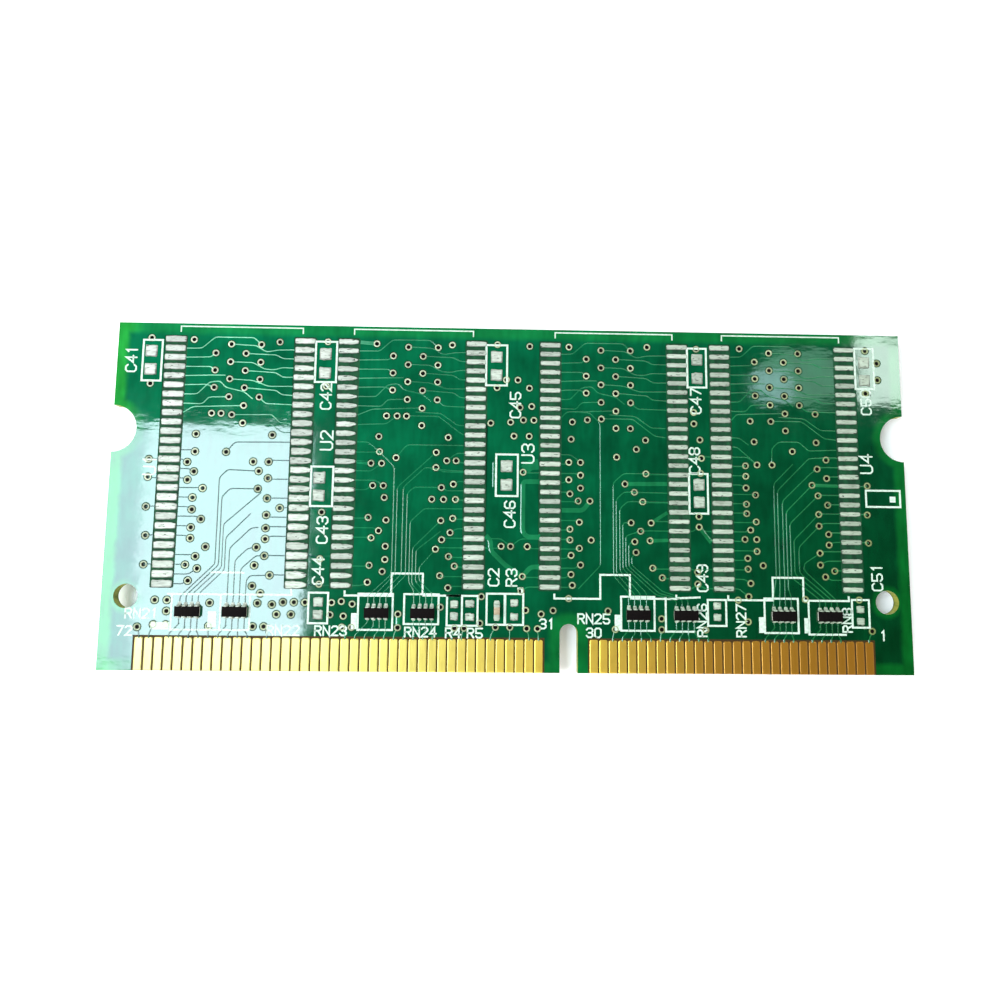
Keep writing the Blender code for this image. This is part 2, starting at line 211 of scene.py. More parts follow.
class Shape:
    """Gathers one piece's points and faces, with a shade value for each point, random on many pieces and
    painted shade on the rims of solder pads, and a material for each face.
    """

    def __init__(self, side=BACK):
        self.side = side
        self.points, self.faces, self.tones, self.marks = [], [], [], []
        self.tone, self.mark = 0.5, 0
        self.layer = 0

    def add(self, points, faces):
        start = len(self.points)
        self.points += [self.side.place(*point) for point in points]
        self.tones += [self.tone] * len(points)
        self.faces += [[start + index for index in face] for face in faces]
        self.marks += [self.mark] * len(faces)

    def loft(self, rings, loop=False):
        """Joins rings of equal length in turn, then closes both ends or joins the last to the first."""
        size, count = len(rings[0]), len(rings)
        faces = faces_between(size, count, loop=loop)
        if not loop:
            faces += [list(range(size)), list(range((count - 1) * size, count * size))]
        self.add([point for ring in rings for point in ring], faces)

    def slab(self, outline, holes, low, high):
        """A flat sheet between two heights, cut to an outline with holes."""
        loops = [outline] + holes
        flat = [[Vector((x, y, 0)) for x, y in loop] for loop in loops]
        triangles = tessellate_polygon(flat)
        points = [(x, y, low) for loop in loops for x, y in loop]
        total = len(points)
        points += [(x, y, high) for loop in loops for x, y in loop]
        faces = [list(triangle) for triangle in triangles]
        faces += [[total + index for index in reversed(triangle)] for triangle in triangles]
        start = 0
        for loop in loops:
            size = len(loop)
            for index in range(size):
                a, b = start + index, start + (index + 1) % size
                faces.append([a, b, total + b, total + a])
            start += size
        self.add(points, faces)

    def turned(self, x, y, profile, loop=False):
        """A profile of (radius, height) pairs turned about an upright axis."""
        self.loft([at_height(circle(x, y, radius), h) for radius, h in profile], loop)

    def ribbon(self, path, width, height, crown, closed=False, round_ends=False):
        """A low ridge along a path: its top is `crown` of its width, and its corners are mitred.

        Each ridge is a hair higher than the one before, so that no two tops share a plane.
        """
        self.layer = (self.layer + 1) % LAYERS
        height += self.layer * LAYER_STEP
        points = [Vector(point) for point in path]
        widths = [width] * len(points)
        if round_ends:
            points, widths = with_round_ends(points, width)
        rings = []
        count = len(points)
        for index, point in enumerate(points):
            before = points[index - 1] if index or closed else None
            after = points[(index + 1) % count] if index < count - 1 or closed else None
            into = (point - before).normalized() if before else (after - point).normalized()
            out = (after - point).normalized() if after else into
            across = (into + out).normalized()
            across = Vector((-across.y, across.x))
            side = Vector((-into.y, into.x))
            half = across * (widths[index] / 2 / max(SHARPEST_MITRE, across.dot(side)))
            section = ((-1, RIDGE_FOOT), (-crown, height), (crown, height), (1, RIDGE_FOOT))
            rings.append([(*(point + half * share), h) for share, h in section])
        self.loft(rings, loop=closed)

    def build(self, name, materials, replaces=(), sharp=35):
        """Makes the piece, which rides on the module's one body."""
        mesh = bpy.data.meshes.new(name)
        mesh.from_pydata(self.points, [], self.faces)
        for material in materials:
            mesh.materials.append(material)
        mesh.polygons.foreach_set("material_index", self.marks)
        mesh.attributes.new("tone", "FLOAT", "POINT").data.foreach_set("value", self.tones)
        body = bmesh.new()
        body.from_mesh(mesh)
        bmesh.ops.recalc_face_normals(body, faces=body.faces)
        body.to_mesh(mesh)
        body.free()
        mesh.shade_smooth()
        mesh.set_sharp_from_angle(angle=math.radians(sharp))
        piece = put(name, mesh)
        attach(piece, "root")
        if replaces:
            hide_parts(*replaces)


def put(name, data):
    """A new object in the scene."""
    made = bpy.data.objects.new(name, data)
    bpy.context.scene.collection.objects.link(made)
    return made


def with_round_ends(points, width):
    """A stroke whose two ends are half circles, as points and the width at each."""
    first, last = points[0], points[-1]
    start = (points[1] - first).normalized() * width
    end = (points[-2] - last).normalized() * width
    steps = ((-0.5, 0.1), (-0.43, 0.5), (-0.25, 0.87), (0.0, 1.0))
    opening = [(first + start * shift, width * share) for shift, share in steps]
    closing = [(last + end * shift, width * share) for shift, share in reversed(steps)]
    strokes = opening + [(point, width) for point in points[1:-1]] + closing
    return [point for point, _ in strokes], [size for _, size in strokes]


# ---------------------------------------------------------------- materials

class Graph:
    """The nodes of one material, with places in millimetres.

    Each method returns the socket that carries its result.
    """

    def __init__(self, name):
        self.material = bpy.data.materials.new(name)
        self.material.use_nodes = True
        self.tree = self.material.node_tree
        self.shader = self.tree.nodes["Principled BSDF"]
        scaled = self.node("ShaderNodeVectorMath", operation="SCALE")
        self.tree.links.new(self.node("ShaderNodeTexCoord").outputs["Object"], scaled.inputs[0])
        scaled.inputs["Scale"].default_value = 1 / MM
        self.place = scaled.outputs[0]
        parts = self.node("ShaderNodeSeparateXYZ")
        self.feed(parts.inputs[0], self.place)
        self.x, self.y, _ = parts.outputs

    def node(self, kind, **settings):
        made = self.tree.nodes.new(kind)
        for key, value in settings.items():
            setattr(made, key, value)
        return made

    def feed(self, socket, value):
        if isinstance(value, bpy.types.NodeSocket):
            self.tree.links.new(value, socket)
        elif isinstance(value, tuple) and len(value) == 3 and socket.type == "RGBA":
            socket.default_value = (*value, 1)
        else:
            socket.default_value = value

    def math(self, operation, *values):
        made = self.node("ShaderNodeMath", operation=operation)
        for socket, value in zip(made.inputs, values):
            self.feed(socket, value)
        return made.outputs[0]

    def noise(self, scale, detail=2.0, stretch=(1, 1, 1), distortion=0.0):
        mapping = self.node("ShaderNodeMapping")
        self.feed(mapping.inputs["Vector"], self.place)
        mapping.inputs["Scale"].default_value = stretch
        made = self.node("ShaderNodeTexNoise")
        self.feed(made.inputs["Vector"], mapping.outputs[0])
        made.inputs["Scale"].default_value = scale
        made.inputs["Detail"].default_value = detail
        made.inputs["Distortion"].default_value = distortion
        return made.outputs["Fac"]

    def span(self, value, low, high, to_low=0.0, to_high=1.0, smooth=False):
        made = self.node("ShaderNodeMapRange", interpolation_type="SMOOTHSTEP" if smooth else "LINEAR")
        for socket, item in zip(made.inputs, (value, low, high, to_low, to_high)):
            self.feed(socket, item)
        return made.outputs[0]

    def mix(self, factor, a, b, blend="MIX"):
        made = self.node("ShaderNodeMix", data_type="RGBA", blend_type=blend)
        self.feed(made.inputs[0], factor)
        self.feed(made.inputs[6], a)
        self.feed(made.inputs[7], b)
        return made.outputs[2]

    def grey(self, value):
        """A colour whose three parts are one value."""
        made = self.node("ShaderNodeCombineColor")
        for socket in made.inputs:
            self.feed(socket, value)
        return made.outputs[0]

    def shade(self, colour, value):
        """The colour made lighter or darker by a factor."""
        return self.mix(1.0, colour, self.grey(value), "MULTIPLY")

    def ramp(self, value, *stops):
        """Shades along a value: each stop is a place from 0 to 1 and a colour."""
        made = self.node("ShaderNodeValToRGB")
        band = made.color_ramp.elements
        while len(band) < len(stops):
            band.new(1.0)
        for element, (place, colour) in zip(band, stops):
            element.position = place
            element.color = (*colour, 1)
        self.feed(made.inputs[0], value)
        return made.outputs[0]

    def tone(self):
        return self.node("ShaderNodeAttribute", attribute_name="tone").outputs["Fac"]

    def bump(self, height, distance, after=None):
        made = self.node("ShaderNodeBump")
        made.inputs["Strength"].default_value = 1.0
        made.inputs["Distance"].default_value = distance * MM
        self.feed(made.inputs["Height"], height)
        if after:
            self.feed(made.inputs["Normal"], after)
        return made.outputs[0]

    def finish(self, colour, roughness, normal=None, metallic=0.0, **constants):
        self.feed(self.shader.inputs["Base Color"], colour)
        self.feed(self.shader.inputs["Roughness"], roughness)
        self.shader.inputs["Metallic"].default_value = metallic
        if normal:
            self.feed(self.shader.inputs["Normal"], normal)
        for key, value in constants.items():
            self.shader.inputs[key].default_value = value
        return self.material


def circle_gap(graph, across, along, x, y, radius):
    """Distance from a circle's rim, growing outward."""
    dx = graph.math("SUBTRACT", across, x)
    dy = graph.math("SUBTRACT", along, y)
    squares = graph.math("ADD", graph.math("MULTIPLY", dx, dx), graph.math("MULTIPLY", dy, dy))
    return graph.math("SUBTRACT", graph.math("SQRT", squares), radius)


MARGIN_FADE = (0.7, 1.35)
# painted light: over this span in from the board's left end, nearest the window, the margin's lighter first
# shade gives way to its other two
LIT_END = (0.8, 2.2)


def over_plane(graph):
    """How much the inner copper plane shows through: 0 along the board's margins and 1 inside."""
    across = graph.math("ABSOLUTE", graph.x)
    along = graph.math("SUBTRACT", graph.y, EDGE_Y)
    slot_top = KEY_DEPTH - KEY_WIDTH / 2
    gaps = [
        graph.math("SUBTRACT", HALF, across),
        graph.math("SUBTRACT", DEPTH, along),
        along,
        circle_gap(graph, across, along, HALF, LATCH_Y, LATCH_RADIUS - 0.3),
        circle_gap(graph, across, along, HOLE_X, HOLE_Y, HOLE_RADIUS - 0.6),
        circle_gap(
            graph, graph.x, graph.math("MAXIMUM", along, slot_top), KEY_X, slot_top, KEY_WIDTH / 2),
    ]
    nearest = gaps[0]
    for gap in gaps[1:]:
        nearest = graph.math("MINIMUM", nearest, gap)
    wobble = graph.math("MULTIPLY", graph.noise(1.2), 0.25)
    return graph.span(graph.math("ADD", nearest, wobble), *MARGIN_FADE, smooth=True)


def away_from_window(graph):
    """0 at the board's upper left, by the window, and 1 at its lower right; colours mixed by it paint light
    that falls off away from the window.
    """
    across, along = graph.math("DIVIDE", graph.x, 2 * HALF), graph.math("MULTIPLY", graph.y, 0.015)
    return graph.span(graph.math("SUBTRACT", across, along), -0.6, 0.65)


def mask_material(name, inner, margin, painted_patches=()):
    """Glossy green lacquer with slight waves, darker where the inner plane lies under it.

    `inner` holds a left and a right shade, and `margin` has one for the lit end before those two.
    The left shades are lighter than the right ones, painted light that falls off away from the
    window, and the lit end is painted light on the board's left end. The painted patches hold
    painted highlights and painted shade: each is a colour and the spans of x and y over which it comes in.
    """
    graph = Graph(name)
    # painted light: each shade below runs from its lighter left value to its darker right value away from
    # the window
    across = away_from_window(graph)
    inner, rim = (graph.mix(across, *shades) for shades in (inner, margin[1:]))
    # painted light on the margin at the board's left end
    lit_end = graph.span(graph.x, LIT_END[0] - HALF, LIT_END[1] - HALF)
    colour = graph.mix(over_plane(graph), graph.mix(lit_end, margin[0], rim), inner)
    # painted highlights and painted shade, laid on in patches by place
    for shade, over_x, over_y in painted_patches:
        cover = graph.math("MULTIPLY", graph.span(graph.x, *over_x), graph.span(graph.y, *over_y))
        colour = graph.mix(cover, colour, shade)
    cloudy = graph.span(graph.noise(0.35, 3), 0.3, 0.7, 0.75, 1.25)
    weave = graph.span(graph.noise(2.2, 1, (1, 0.25, 1)), 0.3, 0.7, 0.9, 1.1)
    colour = graph.shade(graph.shade(colour, cloudy), weave)
    roughness = graph.span(graph.noise(0.8, 4), 0.3, 0.8, 0.035, 0.09)
    waves = graph.bump(graph.noise(0.42, 3, (0.7, 1.9, 1)), 0.0095)
    peel = graph.bump(graph.noise(4.0, 2), 0.0008, after=waves)
    return graph.finish(colour, roughness, peel, IOR=1.55)


def laminate_material():
    """Glass cloth in resin: yellow-green, in thin layers along cut edges and with a faint weave."""
    graph = Graph("laminate")
    layers = graph.noise(1.0, 2, (0.6, 0.6, 14))
    threads = graph.noise(3.0, 2, (1, 1, 0.3))
    colour = graph.mix(graph.span(layers, 0.35, 0.65), (0.26, 0.28, 0.03), (0.4, 0.4, 0.06))
    colour = graph.mix(graph.span(threads, 0.45, 0.8), colour, (0.13, 0.17, 0.02))
    normal = graph.bump(graph.math("ADD", layers, threads), 0.02)
    return graph.finish(colour, graph.span(threads, 0.2, 0.8, 0.45, 0.7), normal, IOR=1.5)


def bare_laminate_material():
    """The board's own surface where the lacquer is open: dark green, and brown between the contacts."""
    graph = Graph("bare_laminate")
    threads = graph.noise(3.0, 2, (1, 0.3, 1))
    colour = graph.mix(graph.span(threads, 0.3, 0.7), (0.002, 0.03, 0.012), (0.006, 0.07, 0.025))
    along = graph.math("SUBTRACT", graph.y, EDGE_Y)
    past_contacts = graph.span(along, FINGER_LENGTH + 0.25, FINGER_LENGTH + 0.3)
    colour = graph.mix(past_contacts, (0.045, 0.022, 0.003), colour)
    return graph.finish(colour, 0.7, graph.bump(threads, 0.01), IOR=1.3)


def solder_material(name, light, dark, speckle):
    """Levelled solder, dull and mottled, with dark flux marks.

    The light and the dark shade each have a left and a right end: the left ends are lighter,
    painted light that falls off away from the window. A per-point value of -1, set on pad rims, paints
    shade on them.
    """
    graph = Graph(name)
    # painted light: the shades darken away from the window
    across = away_from_window(graph)
    streaks = graph.noise(2.2, 4, (0.6, 3.4, 1), 0.4)
    spots = graph.noise(4.0, 3, (0.5, 2.2, 1), 0.6)
    shades = [graph.mix(across, *pair) for pair in (light, dark)]
    colour = graph.mix(graph.span(streaks, 0.35, 0.7), *shades)
    colour = graph.mix(graph.span(spots, speckle, speckle + 0.06), colour, (0.05, 0.06, 0.045))
    # painted shade: a value of -1 on pad rims darkens the colour to 0.4 of itself; random values from 0 to
    # 1 vary it from 0.75 to 1.1
    colour = graph.shade(colour, graph.span(graph.tone(), -1, 1, 0.4, 1.1))
    roughness = graph.span(streaks, 0.3, 0.7, 0.45, 0.65)
    pits = graph.bump(spots, 0.012, after=graph.bump(streaks, 0.02))
    return graph.finish(colour, roughness, pits, metallic=0.15, IOR=1.4)


def gold_material():
    """Plated contacts with painted light, pale yellow at the left by the window and dark orange at the
    right, and faint wiping scratches along their length.
    """
    graph = Graph("gold")
    across = graph.span(graph.x, -HALF, HALF)
    # painted light: the ramp runs from pale yellow at the left, by the window, to dark orange at the right
    colour = graph.ramp(
        across, (0.0, (0.44, 0.4, 0.15)), (0.35, (0.72, 0.6, 0.14)), (0.55, (0.86, 0.6, 0.085)),
        (0.75, (0.45, 0.22, 0.022)), (1.0, (0.36, 0.145, 0.011)))
    colour = graph.shade(colour, graph.span(graph.tone(), 0, 1, 0.9, 1.0))
    scratches = graph.noise(9.0, 2, (1, 0.06, 1))
    # wear and painted shade: dark orange blotches that grow stronger towards the right, away from the
    # window
    wear_and_shade = graph.span(graph.noise(0.9, 3), 0.5, 0.75, 0.0, 0.3)
    colour = graph.mix(graph.math("MULTIPLY", wear_and_shade, across), colour, (0.34, 0.14, 0.015))
    roughness = graph.span(scratches, 0.3, 0.7, 0.28, 0.36)
    return graph.finish(colour, roughness, graph.bump(scratches, 0.001), metallic=0.5)


def ink_material():
    """White marking ink, thin enough to take a little of the green under it."""
    graph = Graph("marking_ink")
    cover = graph.noise(5.0, 3)
    colour = graph.mix(graph.span(cover, 0.35, 0.75), (0.62, 0.72, 0.64), (0.36, 0.5, 0.4))
    roughness = graph.span(cover, 0.2, 0.8, 0.35, 0.6)
    return graph.finish(colour, roughness, graph.bump(cover, 0.006), IOR=1.5)


def plain_material(name, light, dark, scale, rough, depth, metallic=0.0, **constants):
    """Two close shades mixed by noise, which also drives the roughness and a fine relief."""
    graph = Graph(name)
    grain = graph.noise(scale, 4)
    colour = graph.mix(graph.span(grain, 0.35, 0.65), light, dark)
    roughness = graph.span(grain, 0.3, 0.7, *rough)
    return graph.finish(colour, roughness, graph.bump(grain, depth), metallic, **constants)


# Painted light: each left shade is lighter than the right one, as light falls off away from the window, and
# each margin's first shade is painted light on the board's left end.
MASK = mask_material(
    "mask", ((0.0012, 0.108, 0.045), (0.0002, 0.03, 0.0075)),
    ((0.014, 0.25, 0.036), (0.005, 0.16, 0.046), (0.0015, 0.08, 0.011)))
# The first patch is a painted highlight on the traces at the upper left, by the window's edge; the second
# is painted shade on the traces at the lower left, where the window's reflection lies.
MASK_ON_COPPER = mask_material(
    "mask_on_copper", ((0.006, 0.15, 0.07), (0.008, 0.115, 0.03)),
    ((0.03, 0.3, 0.08), (0.02, 0.24, 0.08), (0.006, 0.13, 0.03)),
    (((0.12, 0.4, 0.24), (-9, -21), (5.5, 7.5)), ((0.003, 0.045, 0.035), (-14.5, -16.5), (6, 4.5))))
LAMINATE = laminate_material()
BARE = bare_laminate_material()
# Painted light: the left shades are lighter than the right ones, as light falls off away from the window.
SOLDER = solder_material(
    "solder", ((0.56, 0.59, 0.54), (0.42, 0.52, 0.4)), ((0.36, 0.38, 0.34), (0.26, 0.33, 0.24)), 0.61)
RING_TIN = solder_material(
    "ring_tin", ((0.62, 0.68, 0.54), (0.24, 0.29, 0.09)), ((0.4, 0.46, 0.3), (0.14, 0.18, 0.045)), 0.66)
GOLD = gold_material()
INK = ink_material()
COPPER = plain_material("copper", (0.72, 0.36, 0.2), (0.6, 0.27, 0.14), 4.0, (0.3, 0.5), 0.004, 1.0)
MOULD = plain_material("mould", (0.016, 0.016, 0.017), (0.028, 0.028, 0.03), 14.0, (0.45, 0.62), 0.012)
LEAD = plain_material("lead_tin", (0.72, 0.72, 0.69), (0.5, 0.5, 0.47), 5.0, (0.25, 0.42), 0.006, 1.0)
# Black overcoat of the resistor arrays; the vias also use it for a plug of painted shade.
OVERCOAT_AND_HOLE_SHADE = plain_material(
    "overcoat", (0.002, 0.0015, 0.0015), (0.005, 0.003, 0.003), 7.0, (0.6, 0.8), 0.01,
    **{"Specular IOR Level": 0.06})
ALUMINA = plain_material("alumina", (0.62, 0.6, 0.54), (0.5, 0.48, 0.42), 8.0, (0.5, 0.7), 0.01)
CERAMIC = plain_material("ceramic", (0.3, 0.22, 0.14), (0.42, 0.33, 0.22), 6.0, (0.35, 0.55), 0.012)


# ---------------------------------------------------------------- layout of the back face

# Vias: a lattice that each chip place has from its own x on, and the loose ones
LATTICE_X = (-25.5, -10.35, 6.3, 21.0)
LATTICE_PITCH = 1.28
LATTICE_COLUMNS = (
    (26.65, 25.15, 23.65),
    (27.45, 25.9, 24.4, 22.85),
    (26.65, 25.15, 23.65, 22.1, 20.6),
    (27.45, 25.9, 24.4, 22.85),
)
LOOSE_VIAS = (
    # round chip place 1
    (-31.0, 27.9), (-30.9, 23.9), (-27.4, 27.8), (-20.1, 27.7), (-25.6, 21.4), (-24.8, 21.4),
    (-23.9, 21.3), (-26.8, 19.6), (-20.4, 19.6), (-26.8, 18.1), (-24.2, 18.1), (-30.6, 17.4),
    (-27.4, 17.2), (-21.9, 17.3), (-20.6, 17.3), (-26.8, 16.4), (-21.4, 16.5), (-30.6, 15.9),
    (-27.3, 15.7), (-20.6, 15.9), (-26.0, 15.0), (-21.4, 15.0), (-26.8, 14.2), (-20.6, 14.2),
    (-26.8, 13.2), (-26.0, 12.4), (-26.8, 11.7), (-26.8, 10.8), (-25.5, 10.1), (-26.3, 9.3),
    (-27.1, 8.6), (-26.1, 8.3), (-26.8, 7.3), (-30.6, 13.4), (-30.5, 11.0), (-30.5, 8.6),
    (-19.5, 13.4), (-20.6, 12.8), (-20.6, 11.7), (-20.6, 10.8), (-21.3, 10.1), (-20.6, 9.4),
    (-21.4, 8.6), (-20.1, 7.8), (-21.5, 6.9), (-20.8, 6.3),
    # under chip place 1
    (-29.4, 5.7), (-28.4, 5.7), (-28.4, 4.8), (-29.4, 3.7), (-28.4, 3.7), (-30.7, 3.5),
    (-24.9, 5.5), (-24.9, 3.6), (-21.0, 5.5), (-19.8, 5.4), (-18.9, 5.6), (-18.0, 5.6),
    (-17.1, 5.6), (-18.2, 4.6), (-19.4, 4.6), (-21.3, 3.6), (-20.4, 3.6),
    # round chip place 2
    (-16.0, 27.8), (-16.0, 23.9), (-11.8, 27.7), (-5.3, 27.7), (-10.8, 21.4), (-9.9, 21.4),
    (-9.1, 21.4), (-11.4, 19.6), (-5.5, 19.6), (-11.3, 18.3), (-9.9, 17.8), (-6.5, 18.3),
    (-5.6, 17.6), (-4.8, 17.6), (-6.5, 17.0), (-12.0, 17.3), (-11.1, 17.3), (-11.8, 15.4),
    (-10.9, 15.4), (-6.0, 15.3), (-5.0, 15.6), (-10.8, 14.4), (-6.8, 14.3), (-5.8, 14.3),
    (-4.8, 14.3), (-12.1, 12.7), (-10.6, 12.5), (-6.0, 12.5), (-5.0, 12.7), (-11.2, 11.6),
    (-11.8, 11.0), (-5.2, 11.5), (-5.9, 10.9), (-10.6, 10.3), (-6.4, 10.1), (-10.6, 9.2),
    (-5.3, 9.5), (-11.9, 8.7), (-10.8, 8.2), (-4.8, 8.7), (-6.0, 7.9), (-12.0, 7.3), (-5.3, 6.9),
    (-16.0, 13.1), (-16.0, 9.2), (-16.0, 7.1),
    # between chip places 2 and 3, and under place 2
    (-1.4, 27.8), (-1.4, 24.0), (-0.6, 24.7), (-1.9, 20.9), (-0.2, 21.0), (-0.9, 10.4), (-0.1, 10.4),
    (-14.1, 5.7), (-13.2, 5.5), (-14.9, 5.6), (-13.9, 4.5), (-15.0, 4.6), (-14.0, 3.6),
    (-13.2, 3.6), (-9.4, 4.7), (-9.4, 3.6), (-5.9, 5.3), (-2.5, 6.2), (-1.3, 3.7), (-4.7, 3.6),
    (-3.9, 3.6), (-2.6, 4.0), (-0.1, 3.7),
    # round chip place 3
    (1.4, 27.7), (0.4, 24.7), (1.4, 24.0), (1.6, 22.4), (0.6, 22.3), (0.9, 21.2), (1.8, 21.2),
    (1.4, 19.8), (0.1, 19.8), (0.9, 16.7), (4.8, 27.7), (11.6, 27.8), (6.4, 21.3), (7.6, 21.4),
    (5.1, 21.1), (10.1, 20.6), (5.0, 19.6), (11.4, 19.6), (10.6, 18.8), (8.9, 18.1), (4.8, 17.6),
    (5.8, 17.6), (11.4, 16.7), (5.8, 16.5), (4.8, 16.1), (9.6, 15.8), (5.8, 15.4), (10.4, 15.1),
    (4.9, 14.9), (5.6, 14.3), (6.6, 14.3), (11.1, 14.3), (5.7, 12.5), (10.1, 12.5), (11.8, 12.5),
    (4.9, 11.9), (10.9, 11.8), (4.9, 11.0), (6.7, 11.0), (10.4, 10.9), (11.7, 11.0), (5.7, 10.3),
    (10.5, 10.0), (5.0, 9.7), (5.8, 8.9), (11.9, 8.7), (1.3, 10.4), (5.0, 8.1), (12.7, 7.9),
    (0.9, 7.9), (5.1, 7.2), (0.8, 6.7), (4.8, 6.1), (8.1, 5.1), (1.2, 5.1), (2.5, 4.8), (3.5, 5.1),
    (1.3, 3.6), (2.2, 3.6), (12.6, 4.5), (12.6, 3.6), (8.7, 3.6), (16.3, 3.6),
    # between chip places 3 and 4
    (15.9, 27.7), (15.6, 22.1), (15.6, 21.1), (16.1, 19.7), (16.2, 18.1), (16.1, 16.8),
    (15.9, 12.2), (15.9, 13.1), (15.7, 8.4), (15.7, 7.4),
    # round chip place 4
    (19.7, 27.8), (26.2, 22.1), (20.5, 21.4), (22.3, 21.4), (20.8, 19.6), (26.2, 19.6), (24.1, 18.8),
    (27.0, 18.1), (20.0, 17.5), (21.0, 17.6), (22.3, 17.6), (26.2, 17.3), (20.0, 16.6), (27.0, 16.5),
    (25.7, 15.9), (20.0, 15.6), (20.8, 15.0), (26.2, 15.0), (20.0, 14.2), (27.0, 14.2), (30.8, 27.8),
    (31.8, 26.7), (31.8, 25.2), (30.7, 24.0), (30.5, 15.9), (20.0, 13.4), (26.2, 13.4), (30.4, 13.4),
    (20.8, 12.7), (26.2, 12.4), (20.3, 12.0), (27.0, 11.7), (19.8, 11.2), (20.8, 11.2), (30.4, 11.0),
    (27.0, 10.8), (20.8, 10.2), (26.2, 10.1), (20.0, 9.6), (21.3, 9.0), (26.2, 9.1), (20.0, 8.7),
    (27.4, 8.6), (26.6, 8.1), (20.2, 7.5), (20.0, 6.4), (19.1, 6.1), (24.8, 6.2), (29.4, 6.2),
    (19.9, 4.3), (30.4, 3.6),
)
LATTICE_VIAS = tuple(
    (x + column * LATTICE_PITCH, y)
    for x in LATTICE_X
    for column, rows in enumerate(LATTICE_COLUMNS)
    for y in rows
)
VIAS = LOOSE_VIAS + LATTICE_VIAS
LATTICE_WIDTH = (len(LATTICE_COLUMNS) - 1) * LATTICE_PITCH

# The fan between the lattice of vias and the upper pads, the same at each chip place. Each trace
# starts at the pad of that row, and its points are measured across from the lattice's first column.
FAN_LEFT = (
    (25, (-1.2, 27.05), (-0.1, 28.05), (3.2, 28.05), (3.84, 27.45)),
    (24, (-0.4, 26.3), (0, 26.65)),
    (23, (-0.4, 25.45), (0, 25.15)),
    (22, (-0.4, 24.7), (0.9, 24.72)),
    (21, (-0.7, 23.9), (0, 23.65)),
    (20, (-1.4, 23.05), (-0.4, 24.1), (0.5, 24.2), (1.0, 23.65), (2.56, 23.3), (3.3, 22.7)),
    (19, (-0.9, 22.2), (-0.4, 22.8), (1.28, 22.85)),
    (18, (-1.7, 21.95), (2.56, 22.1)),
)
FAN_RIGHT = (
    (25, (5.3, 27.0), (4.3, 26.8), (3.4, 27.35), (1.28, 27.45)),
    (24, (5.7, 26.25), (5.2, 26.55), (2.56, 26.65)),
    (23, (5.7, 25.45), (5.0, 25.25), (4.2, 25.3), (3.2, 25.85), (1.28, 25.9)),
    (22, (5.8, 24.6), (5.2, 25.0), (2.56, 25.15)),
    (21, (4.6, 23.8), (3.2, 24.3), (1.28, 24.4)),
    (20, (5.7, 23.1), (5.3, 23.45), (2.56, 23.65)),
    (19, (4.4, 22.3), (3.84, 22.85)),
)

